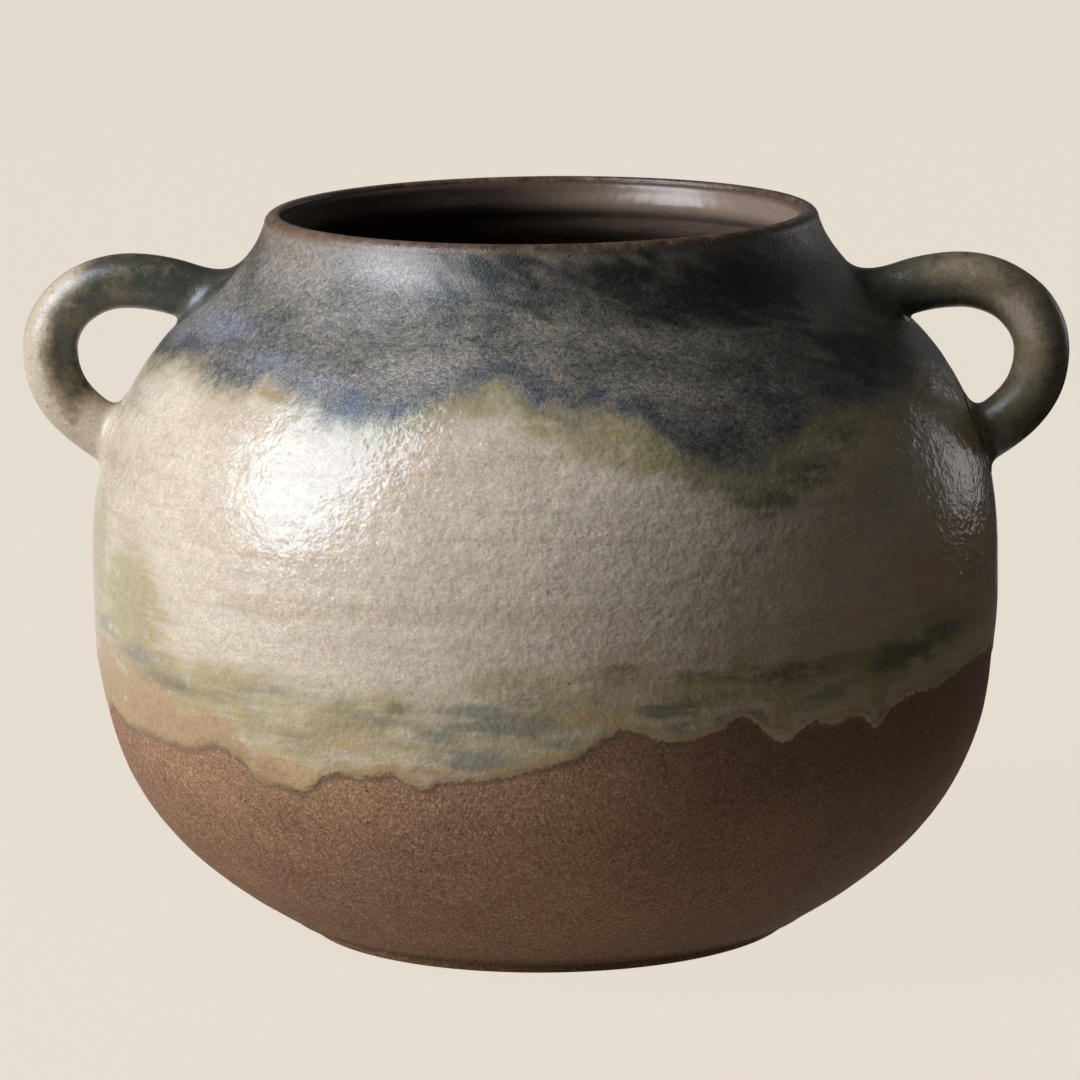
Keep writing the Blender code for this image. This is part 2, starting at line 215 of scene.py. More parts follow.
def profile_mesh(name, line, run, outward):
    """A bare line of points in the XZ plane for the wheel to turn, with its runs and its ways out."""
    mesh = bpy.data.meshes.new(name)
    points = [(radius, 0.0, height) for radius, height in line]
    mesh.from_pydata(points, [(i, i + 1) for i in range(len(points) - 1)], [])
    store(mesh, "run", run)
    store(mesh, "outward", np.stack([outward[:, 0], np.zeros(len(line)), outward[:, 1]], axis=1))
    return mesh


def store(mesh, name, values):
    """Keeps one number, or one vector, for each point of a mesh."""
    values = np.asarray(values, np.float32)
    kind, key = ("FLOAT", "value") if values.ndim == 1 else ("FLOAT_VECTOR", "vector")
    mesh.attributes.new(name, kind, "POINT").data.foreach_set(key, values.ravel())


def fill(made, *inputs, **named):
    """Sets a node's inputs, in order or by name, each to a number, a colour or another node's output."""
    sockets = list(zip(made.inputs, inputs))
    sockets += [(made.inputs[key.replace("_", " ")], value) for key, value in named.items()]
    for socket, value in sockets:
        if isinstance(value, bpy.types.NodeSocket):
            socket.id_data.links.new(value, socket)
        elif isinstance(value, tuple) and len(value) < len(socket.default_value):
            socket.default_value = (*value, 1.0)
        elif value is not None:
            socket.default_value = value
    return made


def node(tree, kind, settings, *inputs, **named):
    """Adds a node with these settings and inputs."""
    made = tree.nodes.new(kind)
    for key, value in settings.items():
        setattr(made, key, value)
    return fill(made, *inputs, **named)


def tree_of(*values):
    """The tree that holds the first of these values that is a node's output."""
    return next(value.id_data for value in values if isinstance(value, bpy.types.NodeSocket))


def maths(operation, *values):
    return node(tree_of(*values), "ShaderNodeMath", {"operation": operation}, *values).outputs[0]


def times(first, second):
    return maths("MULTIPLY", first, second)


def plus(first, second):
    return maths("ADD", first, second)


def minus(first, second):
    return maths("SUBTRACT", first, second)


def swing(tone, by, start):
    """A start, and a noise's swing about its middle times a number."""
    return maths("MULTIPLY_ADD", minus(tone, 0.5), by, start)


def vectors(operation, *values):
    made = node(tree_of(*values), "ShaderNodeVectorMath", {"operation": operation}, *values)
    return made.outputs["Value" if operation == "DOT_PRODUCT" else "Vector"]


def scaled(vector, factor):
    made = node(tree_of(vector), "ShaderNodeVectorMath", {"operation": "SCALE"}, vector, Scale=factor)
    return made.outputs["Vector"]


def noise(where, scale, detail=2.0, roughness=0.5, distortion=0.0):
    return node(
        tree_of(where), "ShaderNodeTexNoise", {}, Vector=where, Scale=scale, Detail=detail,
        Roughness=roughness, Distortion=distortion,
    ).outputs[0]


def xyz(x, y, z):
    return node(tree_of(x, y, z), "ShaderNodeCombineXYZ", {}, x, y, z).outputs[0]


def axis_of(vector, axis):
    return node(tree_of(vector), "ShaderNodeSeparateXYZ", {}, vector).outputs[axis]


def geometry_tree(name, sizes):
    """A new tree with its geometry sockets and an input for each named size."""
    tree = bpy.data.node_groups.new(name, "GeometryNodeTree")
    tree.interface.new_socket("Geometry", in_out="INPUT", socket_type="NodeSocketGeometry")
    tree.interface.new_socket("Geometry", in_out="OUTPUT", socket_type="NodeSocketGeometry")
    for size, kind in sizes.items():
        tree.interface.new_socket(size, in_out="INPUT", socket_type="NodeSocket" + kind)
    return tree, tree.nodes.new("NodeGroupInput").outputs, tree.nodes.new("NodeGroupOutput").inputs


def attribute(tree, name, kind="FLOAT"):
    return node(tree, "GeometryNodeInputNamedAttribute", {"data_type": kind}, name).outputs[0]


def kept(geometry, name, value, kind="FLOAT"):
    return node(
        tree_of(geometry), "GeometryNodeStoreNamedAttribute", {"data_type": kind, "domain": "POINT"},
        geometry, True, name, value,
    ).outputs[0]


def finished(body, given, result):
    """Ends a tree with real geometry that has its finish on it."""
    tree = tree_of(body)
    body = node(tree, "GeometryNodeRealizeInstances", {}, body).outputs[0]
    body = node(tree, "GeometryNodeSetMaterial", {}, body, Material=given["Finish"]).outputs[0]
    fill(result[0].node, body)
    return tree


def throwing_marks(tree, geometry, given):
    """Moves a turned surface in and out by the rings of the thrower's fingers and a slight wobble."""
    place = node(tree, "GeometryNodeInputPosition", {}).outputs[0]
    round_way = vectors("NORMALIZE", vectors("MULTIPLY", place, (1.0, 1.0, 0.0)))
    run = attribute(tree, "run")
    seed = times(given["Seed"], 17.3)
    up = xyz(0.0, 0.0, plus(maths("DIVIDE", run, given["Ring spacing"]), seed))
    rings = noise(vectors("ADD", scaled(round_way, 0.45), up), 1.0, 1.5)
    slow = xyz(seed, 0.0, times(run, 22.0))
    wobble = noise(vectors("ADD", scaled(round_way, 0.8), slow), 1.0, 1.0)
    depth = times(minus(rings, 0.5), given["Ring depth"])
    sway = times(minus(wobble, 0.5), given["Wobble"])
    shift = times(plus(depth, sway), 2.0)
    offset = scaled(attribute(tree, "outward", "FLOAT_VECTOR"), shift)
    return node(tree, "GeometryNodeSetPosition", {}, geometry, Offset=offset).outputs[0]


wheel_sizes = {
    "Ring depth": "Float", "Ring spacing": "Float", "Wobble": "Float", "Seed": "Int", "Finish": "Material"
}


def wheel_tree():
    """Turns an outline about Z into a closed body, as on the wheel."""
    tree, given, result = geometry_tree("turned_on_the_wheel", {"Columns": "Int"} | wheel_sizes)
    rows = node(tree, "GeometryNodeAttributeDomainSize", {}, given["Geometry"]).outputs["Point Count"]
    columns = node(tree, "FunctionNodeIntegerMath", {"operation": "ADD"}, given["Columns"], 1).outputs[0]
    sheet = node(tree, "GeometryNodeMeshGrid", {}, 1.0, 1.0, columns, rows).outputs["Mesh"]
    index = node(tree, "GeometryNodeInputIndex", {}).outputs[0]
    row = node(tree, "FunctionNodeIntegerMath", {"operation": "MODULO"}, index, rows).outputs[0]
    column = node(tree, "FunctionNodeIntegerMath", {"operation": "DIVIDE_FLOOR"}, index, rows).outputs[0]
    turn = maths("DIVIDE", times(column, 2 * pi), given["Columns"])
    turn = minus(turn, pi / 2)

    def of_outline(value, kind="FLOAT_VECTOR"):
        return node(
            tree, "GeometryNodeSampleIndex", {"data_type": kind, "domain": "POINT"},
            given["Geometry"], value, row,
        ).outputs[0]

    def turned_round(vector):
        return node(
            tree, "ShaderNodeVectorRotate", {"rotation_type": "Z_AXIS"}, Vector=vector, Angle=turn
        ).outputs[0]

    place = turned_round(of_outline(node(tree, "GeometryNodeInputPosition", {}).outputs[0]))
    outward = turned_round(of_outline(attribute(tree, "outward", "FLOAT_VECTOR")))
    body = kept(sheet, "run", of_outline(attribute(tree, "run"), "FLOAT"))
    body = kept(body, "outward", outward, "FLOAT_VECTOR")
    body = node(tree, "GeometryNodeSetPosition", {}, body, Position=place).outputs[0]
    body = throwing_marks(tree, body, given)
    body = node(tree, "GeometryNodeMergeByDistance", {}, body, Distance=1e-6).outputs[0]
    return finished(body, given, result)


def added(name, data):
    """A new object in the scene."""
    item = bpy.data.objects.new(name, data)
    bpy.context.scene.collection.objects.link(item)
    return item


def made_by(tree, name, mesh, sizes):
    """Runs a tree on a mesh with the sizes given, and keeps the result as a plain, smooth mesh."""
    piece = added(name, mesh)
    step = piece.modifiers.new("made", "NODES")
    step.node_group = tree
    for socket in tree.interface.items_tree:
        if socket.in_out == "INPUT" and socket.name in sizes:
            step[socket.identifier] = sizes[socket.name]
    bpy.context.view_layer.update()
    graph = bpy.context.evaluated_depsgraph_get()
    plain = bpy.data.meshes.new_from_object(
        piece.evaluated_get(graph), preserve_all_data_layers=True, depsgraph=graph
    )
    piece.modifiers.clear()
    piece.data = plain
    plain.name = name
    plain.shade_smooth()
    return piece


def surface(name):
    """A new material with only a Principled shader, and the Object coordinates in its tree."""
    material = bpy.data.materials.new(name)
    material.use_nodes = True
    where = node(material.node_tree, "ShaderNodeTexCoord", {}).outputs["Object"]
    return material, where, material.node_tree.nodes["Principled BSDF"]


def fade(value, low, high, to_low=0.0, to_high=1.0):
    """Goes smoothly from one number to another while a value goes from low to high."""
    return node(
        tree_of(value), "ShaderNodeMapRange", {"interpolation_type": "SMOOTHSTEP"},
        value, low, high, to_low, to_high,
    ).outputs[0]


def mixed(share, first, second):
    """A colour between two."""
    made = node(tree_of(share, first, second), "ShaderNodeMix", {"data_type": "RGBA"})
    return fill(made, share, *[None] * 5, first, second).outputs[2]


def stretched(where, x, y, z, shift=0.0):
    """Object coordinates in mm, divided along each axis and moved to another part of the noise."""
    return vectors("MULTIPLY_ADD", where, (1000 / x, 1000 / y, 1000 / z), (shift, shift * 0.7, shift * 1.3))


def mottling(where, x, y, z, shift, detail=2.0, roughness=0.5, distortion=0.0):
    """A noise in patches x, y and z millimetres across."""
    return noise(stretched(where, x, y, z, shift), 1.0, detail, roughness, distortion)


def grains(where, spacing, size, shift=0.0):
    """Round grains: 1 in the middle of each, 0 between them. Spacing is in mm and size is a share of it."""
    spot = stretched(where, spacing, spacing, spacing, shift)
    made = node(tree_of(where), "ShaderNodeTexVoronoi", {}, Vector=spot, Scale=1.0)
    kept_share = fade(axis_of(made.outputs["Color"], 0), 0.45, 0.5)
    return times(fade(made.outputs["Distance"], size, size * 0.5), kept_share)


def grained(colour, tone, strength):
    """The colour made lighter and darker by a noise, up to this share of it either way."""
    return scaled(colour, maths("MAXIMUM", swing(tone, strength * 2, 1.0), 0.12))


clay_colour = (0.362, 0.202, 0.111)
clay_dark = (0.292, 0.156, 0.086)
clay_pale = (0.470, 0.290, 0.175)


def bare_clay(where):
    """Fired sandy stoneware: (colour, roughness, relief in mm)."""
    clouds = mottling(where, 26, 26, 15, 0.0, 3.0, 0.6)
    patches = mottling(where, 5, 5, 4, 3.0, 3.0, 0.6)
    sand = mottling(where, 0.52, 0.52, 0.52, 8.0, 2.0, 0.65, 0.5)
    grit = mottling(where, 1.2, 1.2, 1.2, 5.0, 2.0, 0.6)
    colour = mixed(fade(clouds, 0.35, 0.68), clay_dark, clay_colour)
    colour = mixed(fade(patches, 0.48, 0.75, 0.0, 0.30), colour, clay_pale)
    colour = mixed(fade(sand, 0.52, 0.68, 0.0, 0.60), colour, clay_pale)
    colour = grained(colour, sand, 0.95)
    colour = grained(colour, grit, 0.50)
    dots = grains(where, 3.4, 0.12, 11.0)
    colour = mixed(times(dots, 0.80), colour, (0.030, 0.020, 0.017))
    # Painted shade: the bare clay turns darker towards the right, the shaded side.
    across = axis_of(where, 0)
    right_side_shade = maths("MULTIPLY_ADD", clouds, 0.02, across)
    colour = mixed(fade(right_side_shade, 0.005, 0.085, 0.0, 0.55), colour, (0.150, 0.088, 0.056))
    roughness = fade(sand, 0.3, 0.7, 0.88, 0.66)
    relief = times(sand, 0.17)
    relief = maths("MULTIPLY_ADD", grit, 0.12, relief)
    return colour, roughness, relief


def relieved(relief, strength, shader):
    """Turns a relief in millimetres into the shader's normal."""
    bump = node(tree_of(relief), "ShaderNodeBump", {}, Strength=strength, Distance=0.001, Height=relief)
    fill(shader, Normal=bump.outputs[0])


clay_finish, where, shader = surface("bare_stoneware_clay")
colour, roughness, relief = bare_clay(where)
height = axis_of(where, 2)
# Painted shade: a darker band round the groove above the foot ring.
groove_shade = times(fade(height, 0.0022, 0.0030), fade(height, 0.0052, 0.0034))
colour = mixed(times(groove_shade, 0.55), colour, (0.095, 0.052, 0.034))
fill(shader, Base_Color=colour, Roughness=roughness, IOR=1.45, Specular_IOR_Level=0.35)
relieved(relief, 1.0, shader)

turning = wheel_tree()
wheel_marks = {
    "Ring depth": ring_depth, "Ring spacing": ring_spacing, "Wobble": wobble_depth, "Seed": pot_seed
}


def thinned(run, spacing):
    """Every run along the skin where a row of faces is wanted."""
    at = [run[0]]
    while at[-1] < run[1]:
        at.append(at[-1] + spacing(at[-1]))
    at[-1] = run[1]
    return np.array(at)


lip_zone = 0.006
lip_row, outer_row, lined_row = 0.00035, 0.0011, 0.0030


def pot_rows(run):
    """Rows are close together on the outside and round the lip, and wide apart under the lining."""
    if abs(run - lip_run) < lip_zone:
        return lip_row
    return outer_row if run < lip_run else lined_row


body_run = thinned((0.0, skin_run[-1]), pot_rows)
body_line, body_way = on_skin(body_run, np.zeros(len(body_run)))
body_line[-1][0] = 0.0
under_way = line_normals(under_line)
pot_profile = profile_mesh(
    "pot_outline",
    np.concatenate([under_line, body_line]),
    np.concatenate([np.zeros(len(under_line)), body_run]),
    np.concatenate([under_way * 0, body_way * ring_weight(body_run)[:, None]]),
)
thrown_pot = made_by(
    turning, "thrown_pot", pot_profile, wheel_marks | {"Columns": 270, "Finish": clay_finish}
)
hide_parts("thrown_body")
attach(thrown_pot, "root")


# Where each glaze ends on the pot, and the stains in it, some of which are painted shade and painted sheen.
# The pot was dipped twice, first in the cream glaze and then, mouth down, in the slate one, and both ran
# a little as they melted. Edges are (azimuth in degrees, height in mm), with azimuth 0 at the front and 90
# at the right.

cream_edge = [
    (-176, 53), (-168, 50), (-160, 49), (-153, 54), (-146, 57), (-138, 53), (-130, 52), (-122, 57),
    (-114, 60), (-105, 57), (-96, 55), (-86, 54), (-76, 52), (-70, 54), (-64, 52), (-58, 52), (-53, 52),
    (-46, 52), (-41, 54), (-37, 52), (-35, 48.5), (-32, 48), (-28, 47), (-25, 50), (-22, 52), (-18, 52),
    (-15, 53), (-13, 51), (-11, 50), (-9, 52), (-4, 52.5), (0, 54), (3, 55), (6, 56), (9, 59), (12, 62),
    (15, 62), (18, 60), (22, 60), (25, 61), (28, 64), (30, 62), (33, 58), (35, 58), (37, 60), (41, 59.5),
    (46, 60), (49, 56.5), (51, 60), (54, 62), (60, 62), (69, 64), (80, 64), (90, 60), (100, 57),
    (108, 61), (117, 66), (125, 61), (133, 58), (141, 61), (150, 62), (158, 58), (167, 56), (176, 52),
]
slate_edge = [
    (-172, 119), (-164, 124), (-156, 127), (-148, 122), (-141, 121), (-132, 126), (-124, 128),
    (-115, 124), (-107, 123), (-98, 128), (-90, 129), (-81, 128), (-72, 130), (-61, 131), (-53, 130),
    (-44, 128), (-41, 130), (-36, 129), (-30, 127), (-26, 124), (-22, 124), (-20, 125), (-16, 126),
    (-12, 128), (-9, 130), (-5, 132), (-3, 133), (0, 132), (3, 129), (8, 127), (13, 128), (16, 126),
    (18, 124), (23, 118), (26, 116), (30, 115), (36, 118), (44, 124), (50, 124), (57, 124), (67, 124),
    (77, 127), (88, 121), (96, 126), (103, 127), (110, 121), (118, 118), (126, 121), (134, 123),
    (142, 128), (150, 129), (159, 125), (168, 124), (178, 122),
]


def edge_run(edge, azimuth):
    """Run along the skin of an edge, at azimuths in degrees: a smooth closed curve through its points."""
    places, heights = np.array(edge, float).T
    places = np.concatenate([places[-2:] - 360, places, places[:2] + 360])
    heights = np.concatenate([heights[-2:], heights, heights[:2]])
    azimuth = (np.asarray(azimuth, float) + 180) % 360 - 180
    i = np.clip(np.searchsorted(places, azimuth, side="right") - 1, 1, len(places) - 3)
    span = places[i + 1] - places[i]
    share = (azimuth - places[i]) / span
    lift = (heights[i + 1] - heights[i - 1]) / (places[i + 1] - places[i - 1]) * span
    fall = (heights[i + 2] - heights[i]) / (places[i + 2] - places[i]) * span
    height = (
        heights[i] * (2 * share**3 - 3 * share**2 + 1)
        + lift * (share**3 - 2 * share**2 + share)
        + heights[i + 1] * (3 * share**2 - 2 * share**3)
        + fall * (share**3 - share**2)
    )
    return run_at(height / 1000)


# A stain is (azimuth, height in mm, half width in mm, half height in mm, strength), read off the
# front, and strewn by a seed over the side that the front view hides. One marked "edge" follows the
# cream's lower edge, at a height above it.
stains = {
    "navy": [
        (-24, 127.7, 5.2, 4.2, 1), (-15, 127.6, 6.6, 1.9, 0.9), (-6, 133.3, 4.6, 2.6, 0.9),
        (-2, 135.4, 4.3, 2.2, 0.9), (4, 129.9, 3.3, 2.9, 0.9), (3, 132.2, 3, 3.1, 0.6),
        (11, 130.9, 3.3, 2.5, 0.8), (17, 126.9, 4.5, 2.8, 0.9), (28, 122.2, 3.1, 2, 1),
        (39, 126.9, 4.5, 2.3, 0.9), (48, 124, 2.9, 1.3, 0.7), (-66, 133.8, 11, 3, 0.8),
        (-51, 134.6, 5.4, 3.5, 0.5), (24, 124.9, 5.2, 2.3, 0.5), (-35, 133.2, 7.9, 3, 0.35),
        (-12, 130.4, 4.2, 2, 0.5),
    ],
    # Painted shade: the listed dark patches blacken the slate over the front of the neck and the right
    # shoulder, where it lies in shade; those strewn over the back by the seed are dark patches in the
    # glaze.
    "soot": [
        (42, 147, 32, 10, 1.1), (19, 152, 15, 6, 1), (60, 133, 24, 12, 0.85), (-4, 153.6, 13, 3.6, 1.1),
        (40, 137, 26, 10, 0.5), (66, 129, 9, 9, 0.5), (2, 147, 14, 3.4, 0.65), (62, 152, 20, 7, 1),
        (-6, 150.5, 9, 4, 0.8), (24, 146, 18, 7, 0.9),
    ],
    "olive": [
        (-6, 128.2, 8.2, 3.3, 1), (3, 123.8, 5.4, 2.3, 0.9), (2, 127.5, 2.4, 2.8, 0.8),
        (12, 125, 4.6, 2.3, 0.9), (21, 122.5, 4.3, 2, 0.9), (-57, 131.3, 4.7, 2.7, 0.9),
        (-73, 127.3, 12, 1.9, 0.8), (-47, 128.7, 7.8, 2.3, 0.3), (-38, 128.5, 4.5, 2.1, 0.7),
        (44, 120.7, 8.1, 3.1, 0.8), (12, 121, 10, 4, 0.9), (18, 118, 9, 4.5, 1), (36, 112, 12, 6, 0.8),
        (16, 120.2, 5.6, 2.6, 0.8), (-18, 124.4, 8.9, 1.9, 0.6), (-60, 77, 16, 16, 1.4),
        (-76, 86, 16, 17, 1.3), (-38, 68, 25, 6, 0.75), (-52, 67, 11, 6, 1.4), (-16, 68, 13, 3.6, 0.5),
        (1, 72.5, 12, 4, 0.9), (12, 74.8, 8, 3, 0.8), (-14, 60.5, 13, 3, 0.6), (30, 69.3, 16, 4, 1),
        (40, 72.5, 16, 3.6, 1), (52, 71.7, 14, 4.4, 1), (61, 76.6, 12, 4.5, 0.8),
        (22, 70.6, 13, 3.2, 0.9), (8, 66, 12, 4, 0.5), (-28, 61, 14, 4, 0.6), (70, 88, 9, 12, 0.6),
        (-44, 13, 30, 6, 1, "edge"), (-20, 12, 26, 5, 0.9, "edge"), (2, 11, 20, 5, 0.8, "edge"),
        (28, 9, 20, 5, 1, "edge"), (50, 9, 20, 5, 1, "edge"), (68, 11, 16, 6, 0.9, "edge"),
        (-74, 22, 12, 12, 0.9, "edge"),
    ],
    "dark_olive": [
        (-28, 58.5, 11, 1.8, 0.35), (-39, 66.0, 11, 1.5, 0.4), (-51, 65.5, 12, 2.4, 0.9),
        (-14, 67.4, 9, 1.5, 0.45), (19, 66.8, 8, 2.3, 1.1), (20, 62.6, 7, 2, 1), (28, 62.8, 5, 2.4, 1.3),
        (38, 114, 11, 5, 0.9), (46, 119, 9, 5, 0.7), (24, 115.7, 8, 5.1, 1), (32, 108.9, 8, 5, 0.85),
        (23, 118.9, 4, 1.7, 0.7), (29, 112.8, 7, 4, 1), (50, 59.1, 4.4, 3.4, 0.9),
        (12, 75.4, 9, 1.6, 0.4), (34, 71.7, 11, 2.3, 1), (53, 71.3, 13, 2.8, 1), (64, 62, 8, 2.8, 0.8),
        (40, 66.5, 10, 1.6, 0.5), (62, 74, 9, 3, 0.8), (24, 73, 9, 1.5, 0.6),
    ],
    "blue_grey": [
        (-58, 70.0, 12, 2.2, 0.95), (-70, 72.6, 8.1, 2.6, 0.9), (-5, 56.4, 7, 2.8, 1.1),
        (-2, 63.2, 10, 2.4, 1), (-4, 67.4, 8.3, 2.1, 0.9), (2, 65.3, 4.8, 3.0, 0.6),
        (-9, 62.3, 5, 2, 0.8), (1, 69.9, 6.3, 2.2, 0.6), (27, 62.8, 3.5, 1.3, 1),
        (22, 60.3, 6.5, 0.9, 0.8), (-23, 67.1, 9.6, 1.3, 0.4), (6, 60.3, 5.4, 1.3, 0.7),
        (-33, 68.4, 7, 1.1, 0.5), (39, 65.4, 8.1, 1.5, 0.6), (-16, 64.5, 9, 1.4, 0.7),
        (-34, 64.9, 5, 1.1, 0.5), (10, 68.5, 6, 1.6, 0.5),
    ],
    "ochre": [
        (-30, 50.3, 8, 3, 1.7), (-34, 51.4, 5, 2.6, 1.5), (-27, 49.1, 6, 2.2, 1.5),
        (-20, 59.4, 5, 1.4, 0.6), (-31, 61.6, 4, 1.3, 0.4), (8, 66, 3.7, 1.1, 0.9),
        (12, 63.8, 2.8, 1.1, 0.9), (-38, 128.6, 3.9, 1.9, 0.7), (-46, 60, 10, 2.2, 0.5),
        (-52, 62.5, 9, 2.4, 0.5), (21, 122.5, 2.5, 1.3, 0.4), (-10, 51.3, 3.4, 0.9, 0.5),
        (18, 61.7, 4.3, 0.8, 0.4), (-40, 55, 7, 1.6, 0.5), (-32, 1.6, 16, 2.2, 1, "edge"),
        (-14, 1.2, 14, 1.4, 0.7, "edge"), (4, 1.2, 16, 1.5, 0.7, "edge"), (22, 1.0, 14, 1.3, 0.6, "edge"),
        (45, 1.0, 20, 1.2, 0.6, "edge"),
    ],
    "thin_tan": [
        (-56, 5.5, 13, 6.4, 1.6, "edge"), (-70, 7, 14, 7, 1.6, "edge"), (-45, 3.4, 9, 3.8, 1.4, "edge"),
        (-36, 3, 9, 3.2, 1.4, "edge"), (-86, 6, 16, 6, 1.4, "edge"), (-104, 3, 14, 4, 1, "edge"),
        (33, 61.5, 3.6, 2, 0.6), (44, 60.4, 4.6, 1.3, 0.5), (-12, 52.6, 3.6, 1.6, 0.5),
    ],
    "cloud": [
        (-20, 55.6, 7, 1.8, 0.9), (-14, 62, 6, 1.4, 0.6), (-13, 54.9, 5, 1.6, 0.6),
        (12, 59.8, 7, 1.5, 0.5),
    ],
    # Painted shade: the brown stains at the right, azimuths 42 to 74, darken and warm the cream where the
    # belly lies in shade; the weak ones at the front and those strewn over the back are brown patches in
    # the glaze.
    "brown": [
        (47, 112, 15, 9, 0.7), (56, 118, 12, 6, 0.9), (42, 98.7, 14, 8, 0.45), (54, 92, 11, 12, 0.45),
        (45, 82, 14, 6, 0.5), (65, 105, 8, 14, 0.5), (62, 88, 18, 20, 0.8), (74, 98, 15, 26, 1),
        (-27, 88.6, 4.8, 1.7, 0.3), (-3, 89.2, 6.3, 1.2, 0.3), (-18, 83.5, 3.3, 1.1, 0.3),
    ],
    # Painted sheen: these patches give the slate on the lit left shoulder a paler, bluish sheen; those
    # strewn over the back are bluish patches in the glaze.
    "blue_slate": [
        (-62, 138, 20, 6, 0.9), (-42, 134, 14, 4.5, 0.7), (-29, 131, 10, 3, 0.6), (-75, 135, 14, 5, 0.7),
    ],
    "rust": [
        (5, 134, 1.9, 1.6, 0.9), (29, 127.6, 2.1, 1.4, 0.9), (-9, 145.8, 2.2, 1.2, 0.4),
        (-25, 133.9, 1.6, 1, 0.5),
    ],
    # Painted sheen: these pale patches lighten the slate on the lit left shoulder and neck; those strewn
    # over the back by the seed are paler patches in the glaze.
    "thin_slate": [
        (-51, 150, 19, 8, 0.9), (-72, 143, 14, 6, 0.6), (-34, 141, 14, 7, 0.5), (-14, 135, 12, 6, 1),
        (-9, 137, 7, 3.4, 0.8), (-24, 151.9, 14, 3.4, 1), (-36, 132, 10, 4, 0.4), (4, 136.5, 9, 3, 0.4),
        (18, 131, 8, 3, 0.35),
    ],
}
strewn_stains = {
    "navy": 16, "soot": 7, "olive": 24, "dark_olive": 12, "blue_grey": 14, "ochre": 14, "thin_tan": 6,
    "cloud": 5, "brown": 8, "rust": 4, "thin_slate": 6, "blue_slate": 4,
}
chance = np.random.default_rng(41)
for name, spots in stains.items():
    for _ in range(strewn_stains[name]):
        azimuth = chance.uniform(86, 262)
        low, high = (edge_run(edge, azimuth) * 1000 for edge in (cream_edge, slate_edge))
        place = {
            "navy": high + chance.uniform(0, 9), "soot": high + chance.uniform(10, 30),
            "olive": chance.choice([high - 4, low + 9]) + chance.uniform(-3, 6),
            "dark_olive": chance.choice([high - 5, low + 8]) + chance.uniform(-3, 6),
            "blue_grey": low + chance.uniform(3, 12), "ochre": low + chance.uniform(0, 5),
            "thin_tan": low + chance.uniform(2, 6), "cloud": low + chance.uniform(3, 9),
            "brown": chance.uniform(low + 15, high - 5), "rust": high + chance.uniform(2, 16),
            "thin_slate": high + chance.uniform(8, 26), "blue_slate": high + chance.uniform(3, 14),
        }[name]
        wide, tall = chance.uniform(5, 14), chance.uniform(2, 5)
        if name == "rust":
            wide, tall = wide * 0.3, tall * 0.4
        spots.append((azimuth, place, wide, tall, 0.9, "run"))


wave_sizes = [1.0] * 3 + [0.7] * 3 + [0.5] * 4
wave_total = 3.2


def drifted(azimuth, run, seed):
    """A smooth drift of about -1 to 1 over the wall, which makes a stain's outline wander."""
    wave = np.random.default_rng(seed)
    drift = np.zeros(len(run))
    for size in wave_sizes:
        turns = round(wave.integers(4, 40) / size)
        climb = wave.uniform(120, 900) / size
        phase = wave.uniform(0, 2 * pi)
        drift += size * np.sin(np.radians(azimuth) * turns + run * climb + phase)
    return drift / wave_total


dark_patch_and_shade_drift = 3.5


def mark_places(mesh):
    """Keeps on each point how far above either edge it lies, in mm, and how strongly each stain shows."""
    points = np.empty(len(mesh.vertices) * 3)
    mesh.vertices.foreach_get("co", points)
    x, y, z = points.reshape(-1, 3).T
    azimuth = np.degrees(np.arctan2(x, -y))
    run = run_at(z)
    store(mesh, "above_cream_edge", (run - edge_run(cream_edge, azimuth)) * 1000)
    store(mesh, "above_slate_edge", (run - edge_run(slate_edge, azimuth)) * 1000)
    cream_foot = edge_run(cream_edge, azimuth) * 1000
    aside_drift, up_drift = drifted(azimuth, run, 5), drifted(azimuth, run, 6)
    for name, spots in stains.items():
        strength = np.zeros(len(x))
        drift = dark_patch_and_shade_drift if name == "soot" else 1.0
        sideways = azimuth + 1.3 * drift * aside_drift
        level = run * 1000 + 0.9 * drift * up_drift
        for place, height, width, tall, most, *kind in spots:
            middle = run_at(height / 1000) * 1000
            if kind:
                middle = height + cream_foot if kind[0] == "edge" else height
            aside = radians(1) * ((sideways - place + 180) % 360 - 180) * np.hypot(x, y) * 1000
            off = (aside / width) ** 2 + ((level - middle) / tall) ** 2
            strength = np.maximum(strength, most * np.exp(-off))
        store(mesh, name, strength)


def read(where, name):
    """A number kept on the piece's own points, for the finish that has these coordinates."""
    return node(tree_of(where), "ShaderNodeAttribute", {"attribute_name": name}).outputs["Fac"]


def between(share, first, second):
    """A number between two."""
    return node(tree_of(share, first, second), "ShaderNodeMix", {}, share, None, first, second).outputs[0]


def wavy(where, distance, wide, fine, shift):
    """A distance in mm with its edge broken into scallops, wide and fine depths in mm."""
    broad = mottling(where, 7, 7, 7, shift)
    small = mottling(where, 1.4, 1.4, 1.4, shift + 3, 2.0, 0.6)
    moved = swing(broad, wide * 2, distance)
    return swing(small, fine * 2, moved)


cream_colour = (0.715, 0.604, 0.458)


